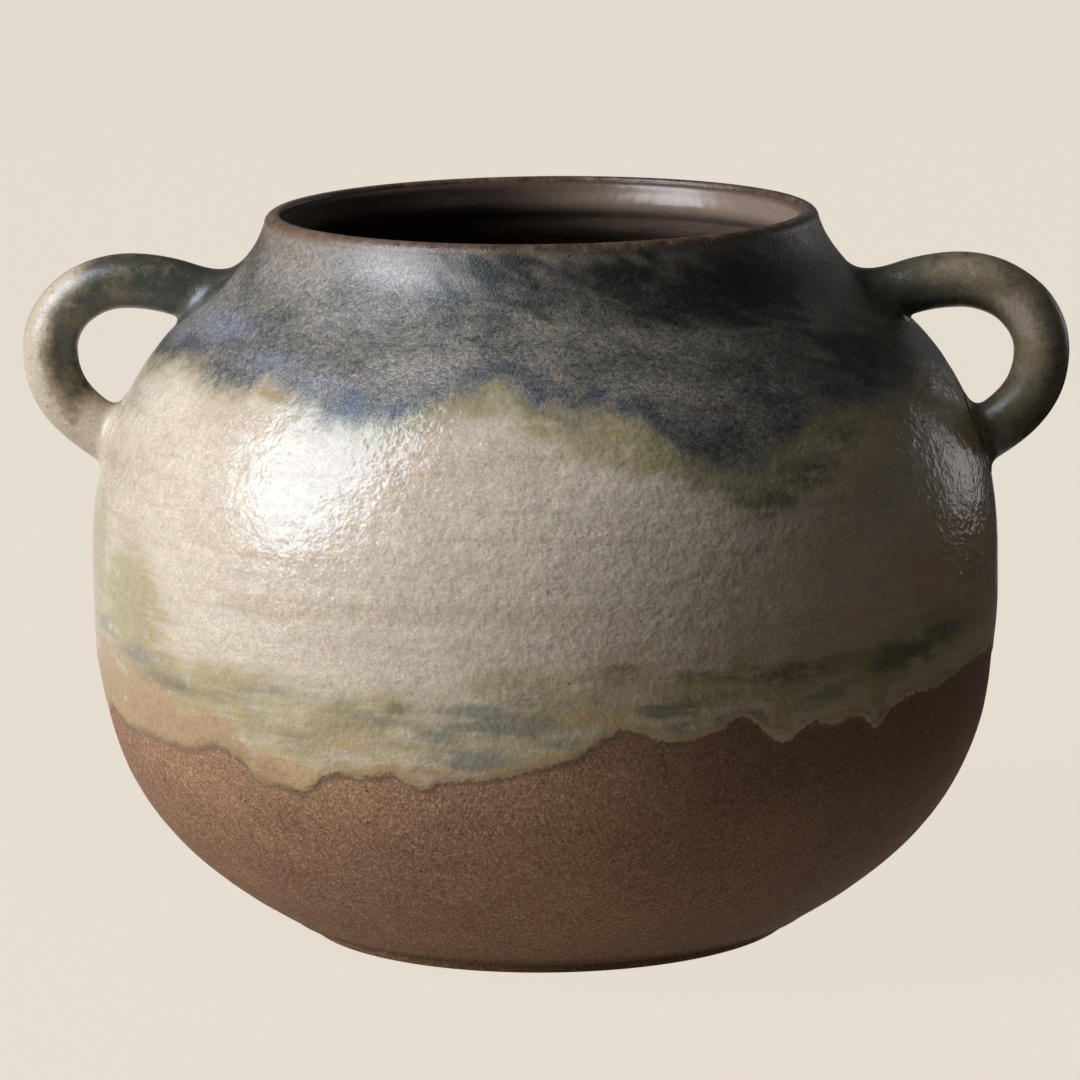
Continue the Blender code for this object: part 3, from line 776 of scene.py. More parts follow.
def cream_glaze(where):
    """The cream glaze where it lies thick: (colour, roughness, relief in mm)."""
    above = read(where, "above_cream_edge")
    clouds = mottling(where, 34, 34, 13, 2.0, 3.0, 0.6)
    streaks = mottling(where, 40, 40, 2.6, 6.0, 3.0, 0.6)
    mottle = mottling(where, 1.9, 1.9, 1.7, 9.0, 3.0, 0.7)
    fine = mottling(where, 0.50, 0.50, 0.50, 4.0, 2.0, 0.65)
    blotch = mottling(where, 7, 7, 3.4, 14.0, 4.0, 0.62)
    broken = swing(blotch, 2.2, 1.0)
    broken = swing(mottle, 2.0, broken)
    broken = swing(fine, 1.2, broken)
    combed = mottling(where, 16, 16, 1.7, 24.0, 3.0, 0.6)
    broken = swing(combed, 1.5, broken)

    def stain(name, most, full=0.95):
        return fade(times(read(where, name), broken), 0.04, full, 0.0, most)

    colour = mixed(fade(clouds, 0.40, 0.70, 0.0, 0.50), cream_colour, (0.640, 0.490, 0.350))
    colour = mixed(fade(streaks, 0.52, 0.74, 0.0, 0.40), colour, (0.760, 0.660, 0.520))
    colour = mixed(fade(streaks, 0.48, 0.28, 0.0, 0.42), colour, (0.540, 0.420, 0.295))
    bands = mottling(where, 70, 70, 5.5, 27.0, 2.0, 0.6)
    colour = mixed(fade(bands, 0.50, 0.70, 0.0, 0.50), colour, (0.585, 0.440, 0.305))
    hazy = swing(mottle, 0.4, between(0.45, blotch, combed))
    low_haze = times(fade(above, 28.0, 6.0), fade(hazy, 0.28, 0.56))
    colour = mixed(times(low_haze, 0.84), colour, (0.530, 0.420, 0.228))
    # Painted shade: on the right of the belly the brown stains stand in for its warm shade.
    colour = mixed(stain("brown", 0.72), colour, (0.640, 0.440, 0.205))
    colour = mixed(stain("olive", 0.88), colour, (0.400, 0.322, 0.158))
    colour = mixed(stain("dark_olive", 0.90), colour, (0.180, 0.160, 0.096))
    colour = mixed(stain("cloud", 0.80), colour, (0.700, 0.575, 0.420))
    colour = mixed(stain("blue_grey", 0.88), colour, (0.265, 0.248, 0.196))
    colour = mixed(stain("ochre", 0.92, 0.66), colour, (0.570, 0.385, 0.180))
    colour = mixed(stain("thin_tan", 0.96, 0.60), colour, (0.460, 0.296, 0.155))
    colour = grained(colour, mottle, 0.30)
    colour = grained(colour, fine, 0.48)
    colour = grained(colour, blotch, 0.20)
    dots = grains(where, 7.0, 0.045, 21.0)
    colour = mixed(times(dots, 0.75), colour, (0.075, 0.050, 0.035))
    rim = times(fade(above, 3.4, 0.4), fade(blotch, 0.30, 0.60, 0.45, 1.0))
    colour = mixed(times(rim, 0.80), colour, (0.410, 0.275, 0.135))
    roughness = fade(mottle, 0.3, 0.7, 0.10, 0.17)
    roughness = plus(roughness, fade(above, 24.0, 0.0, 0.0, 0.35))
    peel = mottling(where, 1.25, 1.25, 1.15, 19.0, 2.0, 0.55)
    swell = mottling(where, 3.6, 3.6, 3.0, 17.0, 2.0)
    relief = times(fine, 0.022)
    relief = maths("MULTIPLY_ADD", peel, 0.150, relief)
    relief = maths("MULTIPLY_ADD", swell, 0.33, relief)
    return colour, roughness, relief


def slate_glaze(where):
    """The slate glaze: blue-black and brown, wrinkled, and navy where it pools above its edge."""
    above = read(where, "above_slate_edge")
    clouds = mottling(where, 16, 16, 8, 31.0, 4.0, 0.62)
    blotch = mottling(where, 4.6, 4.6, 3.4, 35.0, 4.0, 0.66)
    mottle = mottling(where, 1.5, 1.5, 1.2, 38.0, 3.0, 0.68, 0.4)
    wrinkle = mottling(where, 0.56, 0.56, 0.46, 41.0, 2.0, 0.62, 1.1)
    colour = mixed(fade(clouds, 0.38, 0.64), (0.108, 0.102, 0.086), (0.222, 0.198, 0.156))
    pale_patch_and_sheen_share = read(where, "thin_slate")
    colour = mixed(fade(blotch, 0.52, 0.70, 0.0, 0.50), colour, (0.300, 0.255, 0.190))
    colour = mixed(fade(blotch, 0.46, 0.30, 0.0, 0.50), colour, (0.076, 0.074, 0.068))
    # Painted sheen: the pale patches lighten the slate on the lit left shoulder and neck; elsewhere they
    # are paler patches in the glaze.
    colour = mixed(times(pale_patch_and_sheen_share, 0.80), colour, (0.365, 0.326, 0.276))
    # Painted sheen: the bluish patches give the slate on the lit left shoulder a bluish sheen; elsewhere
    # they are bluish patches in the glaze.
    colour = mixed(fade(read(where, "blue_slate"), 0.05, 1.0, 0.0, 0.70), colour, (0.272, 0.284, 0.325))
    pool = times(fade(above, 13.0, 2.0), fade(blotch, 0.36, 0.64))
    broken = swing(blotch, 2.6, 1.0)
    broken = swing(mottle, 1.4, broken)
    navy = fade(times(read(where, "navy"), broken), 0.05, 0.95, 0.0, 0.85)
    navy = maths("MAXIMUM", times(pool, 0.30), navy)
    colour = mixed(navy, colour, (0.080, 0.091, 0.115))
    rusty = fade(times(read(where, "rust"), broken), 0.10, 0.80, 0.0, 0.75)
    colour = mixed(rusty, colour, (0.330, 0.225, 0.140))
    # Painted shade: these dark patches blacken the slate where it lies in shade, on the front of the neck
    # and on the right, and roughen it there.
    dark_patch_and_shade_share = times(read(where, "soot"), between(0.55, 1.0, broken))
    dark_patch_and_shade_share = fade(dark_patch_and_shade_share, 0.02, 0.95, 0.0, 0.94)
    colour = mixed(dark_patch_and_shade_share, colour, (0.020, 0.021, 0.016))
    colour = grained(colour, wrinkle, 1.55)
    colour = grained(colour, mottle, 1.00)
    height = axis_of(where, 2)
    band = swing(mottle, 0.0026, height)
    near_lip = times(fade(height, 0.1480, 0.1565), minus(1.0, dark_patch_and_shade_share))
    colour = mixed(times(near_lip, 0.45), colour, (0.285, 0.215, 0.160))
    across = axis_of(where, 0)
    # Painted light and shade: the lip is a lighter brown on the lit left and a darker brown towards the
    # right.
    lip_colour = mixed(fade(across, -0.045, 0.010), (0.180, 0.108, 0.068), (0.078, 0.044, 0.028))
    lip_colour = mixed(fade(blotch, 0.44, 0.66, 0.0, 0.45), lip_colour, (0.290, 0.200, 0.118))
    lip_colour = grained(lip_colour, mottle, 1.1)
    colour = mixed(fade(band, 0.1560, 0.1577, 0.0, 0.88), colour, lip_colour)
    pits = grains(where, 2.6, 0.13, 61.0)
    pits = times(pits, fade(height, 0.1540, 0.1572))
    colour = mixed(pits, colour, (0.020, 0.015, 0.012))
    roughness = fade(mottle, 0.3, 0.7, 0.16, 0.27)
    roughness = maths("MULTIPLY_ADD", fade(height, 0.1530, 0.1555), 0.06, roughness)
    roughness = maths("MULTIPLY_ADD", dark_patch_and_shade_share, 0.16, roughness)
    roughness = maths("MULTIPLY_ADD", fade(height, 0.1558, 0.1568), -0.11, roughness)
    relief = times(wrinkle, 0.160)
    relief = maths("MULTIPLY_ADD", mottle, 0.130, relief)
    relief = times(relief, fade(height, 0.1435, 0.1490, 1.0, 0.75))
    relief = maths("MULTIPLY_ADD", pits, -0.25, relief)
    return colour, roughness, relief


glaze_gloss = {"IOR": 1.5, "Specular_IOR_Level": 0.58, "Specular_Tint": (0.76, 0.90, 1.0)}


def glazed_skin(name):
    """Bare clay, cream and slate glaze as one fired skin, each where its edges put it.

    Both coats and the clay under them use it, so that what shows is one surface where they meet.
    """
    material, where, shader = surface(name)
    clay, clay_rough, clay_relief = bare_clay(where)
    cream, cream_rough, cream_relief = cream_glaze(where)
    slate, slate_rough, slate_relief = slate_glaze(where)
    low = wavy(where, read(where, "above_cream_edge"), 1.5, 1.3, 51.0)
    soft = times(read(where, "thin_tan"), 2.2)
    on_cream = fade(low, minus(-0.30, soft), plus(0.50, soft))
    soaked = times(fade(low, -2.2, -0.3), 0.62)
    clay = mixed(soaked, clay, (0.185, 0.112, 0.060))
    high = wavy(where, read(where, "above_slate_edge"), 4.2, 2.6, 57.0)
    runs = mottling(where, 1.3, 1.3, 7.0, 66.0, 3.0, 0.65)
    high = swing(runs, 5.0, high)
    on_slate = fade(high, -3.8, 3.2)
    fringe = times(fade(high, -10.0, -1.0), fade(high, 3.0, 0.0))
    # Painted sheen: the olive fringe is weaker towards the lit left, which leaves the glaze paler there.
    across = axis_of(where, 0)
    fringe = times(fringe, fade(across, -0.060, -0.012, 0.45, 0.86))
    cream = mixed(fringe, cream, (0.360, 0.306, 0.165))
    glaze = mixed(on_slate, cream, slate)
    glaze_rough = between(on_slate, cream_rough, slate_rough)
    glaze_relief = between(on_slate, cream_relief, slate_relief)
    relief = between(on_cream, clay_relief, glaze_relief)
    relief = maths("MULTIPLY_ADD", fade(low, -0.8, 1.2), 0.04, relief)
    roughness = between(on_cream, clay_rough, glaze_rough)
    fill(shader, Base_Color=mixed(on_cream, clay, glaze), Roughness=roughness, **glaze_gloss)
    relieved(relief, 1.0, shader)
    return material


coat_thickness = 0.0009
coat_columns = 720
cream_skin = glazed_skin("cream_dip_glaze")
slate_skin = glazed_skin("slate_dip_glaze")
azimuths = np.arange(coat_columns) * 360 / coat_columns - 180


def coat_tree():
    """Gives a coat the same finger rings as the clay under it."""
    tree, given, result = geometry_tree("coat_over_the_rings", wheel_sizes)
    body = throwing_marks(tree, given["Geometry"], given)
    return finished(body, given, result)


coating = coat_tree()


def coat(name, outer_runs, outer_depths, inner_runs, inner_depths, finish):
    """A closed coat of glaze: an outer face and an inner one that lies sunk in what carries it.

    Each is an array of rows by columns, rows running up the skin.
    """
    runs = np.concatenate([outer_runs, inner_runs[::-1]])
    depths = np.concatenate([outer_depths, inner_depths[::-1]])
    line, way = on_skin(runs, depths)
    turn = np.radians(azimuths)
    across = np.stack([np.sin(turn), -np.cos(turn)], axis=-1)
    points = np.concatenate([line[..., :1] * across, line[..., 1:]], axis=-1)
    outward = np.concatenate([way[..., :1] * across, way[..., 1:]], axis=-1) * ring_weight(runs)[..., None]
    rows, columns = runs.shape
    index = np.arange(rows * columns).reshape(rows, columns)
    beside, above = np.roll(index, -1, axis=1), np.roll(index, -1, axis=0)
    faces = np.stack([index, beside, np.roll(above, -1, axis=1), above], axis=-1).reshape(-1, 4)
    mesh = bpy.data.meshes.new(name)
    mesh.from_pydata(points.reshape(-1, 3).tolist(), [], faces.tolist())
    store(mesh, "run", runs.ravel())
    store(mesh, "outward", outward.reshape(-1, 3))
    piece = made_by(coating, name, mesh, wheel_marks | {"Finish": finish})
    mark_places(piece.data)
    return piece


def smooth_step(value, low, high):
    share = np.clip((value - low) / (high - low), 0, 1)
    return share * share * (3 - 2 * share)


def eased(count, ends):
    """Shares from 0 to 1 that lie closer together near both ends."""
    t = np.linspace(0, 1, count)[:, None]
    return t - (1 - ends) * np.sin(2 * pi * t) / (2 * pi)


# The cream coat: the first dip, a thick feldspar glaze over the lower wall's upper half and the
# belly. It ends in a run, uneven lower edge and goes up under the slate coat.

cream_below_edge = 0.0022
cream_under_slate = 0.0050
edge_sunk = 0.00010
edge_film = 0.00013
edge_roll = 0.00028
inner_sunk = 0.00022
cream_low = edge_run(cream_edge, azimuths) - cream_below_edge
cream_high = edge_run(slate_edge, azimuths) + cream_under_slate
cream_runs = cream_low + (cream_high - cream_low) * eased(116, 0.16)
rise = cream_runs - cream_low
cream_depths = (
    -edge_sunk
    + edge_film * smooth_step(rise, 0.0, 0.0014)
    + edge_roll * smooth_step(rise, 0.0013, 0.0034)
    + (coat_thickness + edge_sunk - edge_film - edge_roll) * smooth_step(rise, 0.0024, 0.0160)
    - (coat_thickness + edge_sunk) * smooth_step(cream_high - cream_runs, 0.0016, 0.0)
)
cream_inner = cream_low + (cream_high - cream_low) * np.linspace(0.004, 0.996, 12)[:, None]
cream_coat = coat(
    "cream_coat", cream_runs, cream_depths, cream_inner, np.full(cream_inner.shape, -inner_sunk), cream_skin
)
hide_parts("cream_glaze")
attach(cream_coat, "root")


# The slate coat: the second dip, mouth down, an iron and cobalt glaze over the shoulder and neck.
# It has fused with the cream at its lower edge, and thins to brown where it ran off the lip.

slate_below_edge = 0.0045
slate_swell = 0.00022
slate_low = edge_run(slate_edge, azimuths) - slate_below_edge
lip_out, lip_in = lip_run - 0.0050, lip_run + 0.0014
step = np.linspace(0, 1, 84)[:, None]
wall_rows = slate_low + (lip_out - slate_low) * (0.25 * step + 0.75 * step**1.7)
lip_rows = np.linspace(lip_out, lip_in, 26)[1:, None] + 0 * slate_low
slate_runs = np.concatenate([wall_rows, lip_rows])
rise = slate_runs - slate_low - 0.0020
slate_depths = (
    coat_thickness
    - 28.0 * np.minimum(rise, 0) ** 2
    + slate_swell * smooth_step(rise, 0.0, 0.0045)
    - slate_swell * smooth_step(slate_runs, lip_run - 0.016, lip_run - 0.006)
    - 0.00100 * smooth_step(slate_runs, lip_run + 0.0005, lip_in)
)
slate_inner = np.concatenate(
    [slate_low + (lip_out - slate_low) * np.linspace(0.004, 1, 20)[:, None], lip_rows[3:-1:3]]
)
slate_sunk = 0.00064 - 0.00090 * smooth_step(slate_inner - slate_low, 0.0050, 0.0085)
slate_coat = coat("slate_coat", slate_runs, slate_depths, slate_inner, slate_sunk, slate_skin)
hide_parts("slate_glaze")
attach(slate_coat, "root")


# The lining: a shiny dark-brown glaze that was poured in and swirled, and poured out again. It
# covers the whole inside and meets the slate coat on the lip, where it thins to red-brown.

liner_finish, where, shader = surface("dark_lining_glaze")
streaks = mottling(where, 22, 22, 5, 71.0, 4.0, 0.65)
mottle = mottling(where, 1.8, 1.8, 1.8, 74.0, 3.0, 0.65)
height = axis_of(where, 2)
colour = mixed(fade(streaks, 0.35, 0.68), (0.026, 0.017, 0.013), (0.070, 0.044, 0.030))
colour = mixed(fade(mottle, 0.50, 0.75, 0.0, 0.4), colour, (0.125, 0.080, 0.055))
# Painted light and shade: the pale band near the top of the lining is strong on the right, where the inner
# wall is lit, and faint on the left, where the rim shades it.
band = swing(streaks, 0.006, height)
across = axis_of(where, 0)
band = times(fade(band, 0.1430, 0.1500), fade(across, -0.022, 0.030, 0.05, 0.74))
colour = mixed(band, colour, (0.330, 0.238, 0.175))
colour = mixed(fade(height, 0.1558, 0.1575, 0.0, 0.8), colour, (0.105, 0.058, 0.036))
roughness = plus(fade(mottle, 0.3, 0.7, 0.25, 0.34), fade(across, -0.020, -0.040, 0.0, 0.40))
fill(shader, Base_Color=colour, Roughness=roughness, IOR=1.52)
relief = times(mottling(where, 4, 4, 3, 77.0, 1.5), 0.16)
relieved(maths("MULTIPLY_ADD", mottle, 0.03, relief), 1.0, shader)

liner_start = lip_run + 0.0009
liner_run = thinned((liner_start, skin_run[-1]), lambda run: 0.0004 if run < lip_run + 0.010 else 0.0014)
liner_depth = 0.00055 * smooth_step(liner_run, liner_start - 0.0008, liner_start + 0.0016)
liner_face, liner_way = on_skin(liner_run, liner_depth)
sunk_run = thinned((liner_start + 0.0006, skin_run[-1]), lambda run: 0.0060)[::-1]
sunk_face, sunk_way = on_skin(sunk_run, np.full(len(sunk_run), -0.00012))
liner_face[-1][0] = sunk_face[0][0] = 0.0
liner_profile = profile_mesh(
    "lining_outline",
    np.concatenate([sunk_face, liner_face]),
    np.concatenate([sunk_run, liner_run]),
    np.concatenate(
        [sunk_way * ring_weight(sunk_run)[:, None], liner_way * ring_weight(liner_run)[:, None]]
    ),
)
liner_coat = made_by(
    turning, "liner_coat", liner_profile, wheel_marks | {"Columns": 288, "Finish": liner_finish}
)
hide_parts("liner_glaze")
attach(liner_coat, "root")


# The handles: two coils of clay rolled by hand, bent round and luted to the shoulder, with their
# ends worked out over the pot by thumb. They were dipped with the neck, so slate lies on them.

coil_thickness = 0.0121
handle_reach = 0.0102
handle_side_below_shoulder = 0.0086
crest_above_shoulder = 0.0068
crest_inboard_of_side = 0.0178
upper_root_above_shoulder = 0.0024
upper_root_rise = radians(28.0)
lower_root_below_shoulder = 0.0278
lower_root_fall = radians(32.0)
round_share = 0.5523


def root(height, angle):
    """Where the coil's middle meets the glazed pot, as (x, z), and the way that it leaves."""
    start = np.array([on_skin(run_at(height), coat_thickness)[0][0], height])
    return start, np.array([cos(angle), sin(angle)])


root_inset = 0.009
start, start_way = root(shoulder_height + upper_root_above_shoulder, upper_root_rise)
end, end_way = root(shoulder_height - lower_root_below_shoulder, pi + lower_root_fall)
side = np.array([belly_radius + handle_reach, shoulder_height - handle_side_below_shoulder])
crest = np.array([side[0] - crest_inboard_of_side, shoulder_height + crest_above_shoulder])
to_crest = np.linalg.norm(crest - start) / 3
to_end = np.linalg.norm(end - side) * 0.4
over = np.array([side[0] - crest[0], 0]) * round_share
down = np.array([0, crest[1] - side[1]]) * round_share
coil_line = np.concatenate(
    [
        [start - start_way * root_inset],
        bezier(start, start + start_way * to_crest, crest - [to_crest, 0], crest, 60)[:-1],
        bezier(crest, crest + over, side + down, side, 60)[:-1],
        bezier(side, side - [0, to_end], end - end_way * to_end, end, 60),
        [end + end_way * root_inset],
    ]
)


def shape_of(tree, item):
    """The mesh of another object."""
    return node(tree, "GeometryNodeObjectInfo", {"transform_space": "ORIGINAL"}, item).outputs["Geometry"]


def coil_tree():
    """Rolls a round coil along a path, uneven as rolled by hand, and works its two ends over the pot.

    Each line of points runs along the coil from where it leaves the pot's skin to where it meets it
    again. At its ends it leaves the coil and lands flat on the pot, on the curve
    sqrt(way along) + sqrt(way aside) = sqrt(size of the worked clay).
    """
    sizes = {
        "Pot": "Object", "Rings": "Int", "Sides": "Int", "Thickness": "Float", "Unevenness": "Float",
        "Seed": "Int", "Hand": "Float", "Inset": "Float", "Sunk": "Float", "Upper over": "Float",
        "Upper under": "Float", "Lower over": "Float", "Lower under": "Float", "Finish": "Material",
    }
    tree, given, result = geometry_tree("rolled_coil", sizes)
    route = node(tree, "GeometryNodeMeshToCurve", {}, given["Geometry"]).outputs[0]
    whole = node(tree, "GeometryNodeCurveLength", {}, route).outputs[0]
    pot = shape_of(tree, given["Pot"])
    index = node(tree, "GeometryNodeInputIndex", {}).outputs[0]
    place = node(tree, "GeometryNodeInputPosition", {}).outputs[0]
    normal = node(tree, "GeometryNodeInputNormal", {}).outputs[0]

    step = maths("DIVIDE", index, minus(given["Rings"], 1.0))
    sway = maths("SINE", times(step, 2 * pi))
    line = node(tree, "GeometryNodeMeshLine", {}, Count=given["Rings"]).outputs[0]
    line = node(tree, "GeometryNodeMeshToCurve", {}, line).outputs[0]
    line = kept(line, "share", maths("MULTIPLY_ADD", sway, -0.80 / (2 * pi), step))
    ring = node(tree, "GeometryNodeCurvePrimitiveCircle", {}, Resolution=given["Sides"], Radius=0.1)
    turned = maths("DIVIDE", times(index, 2 * pi), given["Sides"])
    ring = kept(ring.outputs[0], "turn", turned)
    tube = node(tree, "GeometryNodeCurveToMesh", {}, line, ring, Fill_Caps=True).outputs[0]
    turn = attribute(tree, "turn")

    def on_coil(along):
        """The place on the coil's face at a length along its path, the way out of it and the way along."""
        spot = node(tree, "GeometryNodeSampleCurve", {"mode": "LENGTH"}, Curves=route, Length=along)
        middle, way = spot.outputs["Position"], spot.outputs["Tangent"]
        over = vectors("CROSS_PRODUCT", way, xyz(0.0, given["Hand"], 0.0))
        aside = vectors("CROSS_PRODUCT", way, over)
        out = vectors(
            "ADD", scaled(over, maths("COSINE", turn)),
            scaled(aside, maths("SINE", turn)),
        )
        drift = vectors("ADD", middle, xyz(given["Seed"], 0.0, 0.0))
        rolled = minus(noise(drift, 60.0, 1.0), 0.5)
        radius = times(maths("MULTIPLY_ADD", rolled, given["Unevenness"], 1.0), given["Thickness"])
        return vectors("ADD", middle, scaled(out, times(radius, 0.5))), out, way

    def skin_way(at):
        near = node(
            tree, "GeometryNodeSampleNearestSurface", {"data_type": "FLOAT_VECTOR"}, pot, normal,
            Sample_Position=at,
        )
        return vectors("NORMALIZE", near.outputs[0])

    def gap(at, way):
        foot = node(
            tree, "GeometryNodeProximity", {"target_element": "FACES"}, pot, Sample_Position=at
        ).outputs["Position"]
        return vectors("DOT_PRODUCT", vectors("SUBTRACT", at, foot), way)

    def leaves_at(first, sign):
        """The length along the path at which this line of points crosses the pot's skin."""
        along = first
        for _ in range(5):
            at, _out, way = on_coil(along)
            under = skin_way(at)
            steep = maths("MAXIMUM", times(vectors("DOT_PRODUCT", way, under), sign), 0.35)
            move = times(maths("DIVIDE", gap(at, under), steep), -sign)
            along = plus(along, move)
        return along

    tube = kept(tube, "upper", leaves_at(given["Inset"], 1.0))
    tube = kept(tube, "lower", leaves_at(minus(whole, given["Inset"]), -1.0))
    upper, lower = attribute(tree, "upper"), attribute(tree, "lower")
    along = between(
        attribute(tree, "share"), minus(upper, given["Sunk"]),
        plus(lower, given["Sunk"]),
    )
    at, out, _way = on_coil(along)
    from_upper, from_lower = minus(along, upper), minus(lower, along)
    tube = kept(tube, "near_upper", maths("LESS_THAN", from_upper, from_lower))
    tube = kept(tube, "travelled", maths("MINIMUM", from_upper, from_lower))
    tube = kept(tube, "out", out, "FLOAT_VECTOR")
    tube = node(tree, "GeometryNodeSetPosition", {}, tube, Position=at).outputs[0]
    out = attribute(tree, "out", "FLOAT_VECTOR")
    under = skin_way(place)
    tube = kept(tube, "rise", gap(place, under))

    up = maths("MULTIPLY_ADD", axis_of(out, 2), 0.5, 0.5)
    at_upper = between(up, given["Upper under"], given["Upper over"])
    at_lower = between(up, given["Lower under"], given["Lower over"])
    size = between(attribute(tree, "near_upper"), at_lower, at_upper)
    travelled = maths("MINIMUM", maths("MAXIMUM", attribute(tree, "travelled"), 0.0), size)
    spread = minus(maths("SQRT", size), maths("SQRT", travelled))
    spread = times(spread, spread)
    flat = scaled(under, vectors("DOT_PRODUCT", out, under))
    away = vectors("NORMALIZE", vectors("SUBTRACT", out, flat))
    tube = kept(tube, "spread", spread)
    tube = node(tree, "GeometryNodeSetPosition", {}, tube, Offset=scaled(away, spread)).outputs[0]
    worked = maths("GREATER_THAN", attribute(tree, "spread"), 0.0)
    for _ in range(2):
        under = skin_way(place)
        lift = times(minus(attribute(tree, "rise"), gap(place, under)), worked)
        tube = node(tree, "GeometryNodeSetPosition", {}, tube, Offset=scaled(under, lift)).outputs[0]
    return finished(tube, given, result)


outside_run = body_run[body_run < lip_run]
skin_at, skin_out = on_skin(outside_run, coat_thickness + 0.00018)
pot_skin = made_by(
    turning,
    "pot_skin",
    profile_mesh("skin_outline", skin_at, outside_run, skin_out * ring_weight(outside_run)[:, None]),
    wheel_marks | {"Columns": 360, "Finish": clay_finish},
)
rolling = coil_tree()

hole_middle = (0.0955, 0.1270)

# Where the pale glaze shows on each handle: (way along from 0 at the upper root to 1 at the lower,
# degrees round from the outer face towards the front, half widths of both, strength).
pale_places = {
    "left": [
        (0.97, 60, 0.11, 400, 1.5), (0.80, 16, 0.14, 68, 1.6), (0.64, 20, 0.14, 62, 1.8),
        (0.49, 8, 0.10, 58, 1.5),
    ],
    "right": [
        (0.30, 65, 0.16, 45, 0.50), (0.50, 104, 0.16, 42, 0.85), (0.55, 30, 0.14, 40, 0.40),
        (0.70, 120, 0.10, 40, 0.35), (0.45, 250, 0.2, 60, 0.45), (0.99, 240, 0.07, 110, 0.9),
        (0.66, 70, 0.12, 40, 0.45),
    ],
}


def mark_pale(mesh, hand, places):
    """Keeps on each point of a handle how strongly the pale glaze shows there."""
    count = len(mesh.vertices)
    points, out, share = np.empty(count * 3), np.empty(count * 3), np.empty(count)
    mesh.vertices.foreach_get("co", points)
    mesh.attributes["out"].data.foreach_get("vector", out)
    mesh.attributes["share"].data.foreach_get("value", share)
    points, out = points.reshape(-1, 3), out.reshape(-1, 3)
    from_hole = unit(np.stack([hand * points[:, 0], points[:, 2]], axis=1) - hole_middle)
    outer = hand * out[:, 0] * from_hole[:, 0] + out[:, 2] * from_hole[:, 1]
    turn = np.degrees(np.arctan2(-out[:, 1], outer))
    strength = np.zeros(count)
    for along, round_to, long, wide, most in places:
        aside = (turn - round_to + 180) % 360 - 180
        off = ((share - along) / long) ** 2 + (aside / wide) ** 2
        strength = np.maximum(strength, most * np.exp(-off))
    store(mesh, "pale", strength)


def handle_glaze(name, shift, ground):
    """Ash glaze over slate: olive, brown and grey mottling, pale where the cream ran over it."""
    material, where, shader = surface(name)
    slate, _roughness, relief = slate_glaze(where)
    clouds = mottling(where, 9, 9, 7, 81.0 + shift, 4.0, 0.66)
    mottle = mottling(where, 1.9, 1.9, 1.9, 84.0, 3.0, 0.66)
    fine = mottling(where, 0.6, 0.6, 0.6, 87.0, 2.0, 0.6)
    colour = mixed(0.84, slate, ground)
    colour = mixed(fade(clouds, 0.50, 0.66, 0.0, 0.60), colour, (0.235, 0.182, 0.092))
    colour = mixed(fade(clouds, 0.48, 0.34, 0.0, 0.50), colour, (0.062, 0.058, 0.038))
    colour = mixed(fade(mottle, 0.56, 0.72, 0.0, 0.45), colour, (0.310, 0.250, 0.150))
    at_neck = fade(read(where, "share"), 0.34, 0.10, 0.0, 0.72)
    colour = mixed(at_neck, colour, (0.058, 0.060, 0.050))
    spots = mottling(where, 3.4, 3.4, 3.4, 92.0 + shift, 3.0, 0.66)
    colour = mixed(fade(spots, 0.54, 0.68, 0.0, 0.45), colour, (0.240, 0.185, 0.095))
    colour = mixed(fade(spots, 0.46, 0.34, 0.0, 0.55), colour, (0.072, 0.070, 0.050))
    broken = swing(clouds, 1.6, 1.0)
    broken = swing(mottle, 1.2, broken)
    pale = fade(times(read(where, "pale"), broken), 0.05, 0.90, 0.0, 0.92)
    rust = times(fade(pale, 0.05, 0.45), fade(pale, 0.95, 0.45))
    colour = mixed(pale, colour, (0.640, 0.530, 0.375))
    colour = mixed(times(rust, 0.35), colour, (0.300, 0.190, 0.095))
    colour = grained(colour, fine, 0.45)
    fill(shader, Base_Color=colour, Roughness=fade(mottle, 0.3, 0.7, 0.18, 0.30), **glaze_gloss)
    relieved(relief, 0.45, shader)
    return material


# Each handle's side of the pot, the shift of its mottling and the ground colour of its glaze.
handle_kinds = {"left": (-1, 0.0, (0.078, 0.072, 0.048)), "right": (1, 5.0, (0.265, 0.218, 0.122))}
for name, (hand, shift, ground) in handle_kinds.items():
    path = bpy.data.meshes.new(name + "_path")
    path.from_pydata(
        [(hand * x, 0.0, z) for x, z in coil_line], [(i, i + 1) for i in range(len(coil_line) - 1)], []
    )
    coil_finish = handle_glaze(name + "_handle_glaze", shift, ground)
    coil = made_by(
        rolling,
        name + "_handle_coil",
        path,
        {
            "Pot": pot_skin, "Rings": 170, "Sides": 56, "Thickness": coil_thickness,
            "Unevenness": 0.09, "Seed": 3 + hand, "Hand": float(hand), "Inset": root_inset,
            "Sunk": 0.0008, "Upper over": 0.0078, "Upper under": 0.0030, "Lower over": 0.0044,
            "Lower under": 0.0020, "Finish": coil_finish,
        },
    )
    mark_places(coil.data)
    mark_pale(coil.data, hand, pale_places[name])
    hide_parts(name + "_handle", name + "_upper_luting", name + "_lower_luting")
    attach(coil, "root")
bpy.data.objects.remove(pot_skin)


# The grit: grains of sand and iron that stand up from the bare clay, and iron specks that have
# bled through the cream glaze. They are strewn over the fired surface.


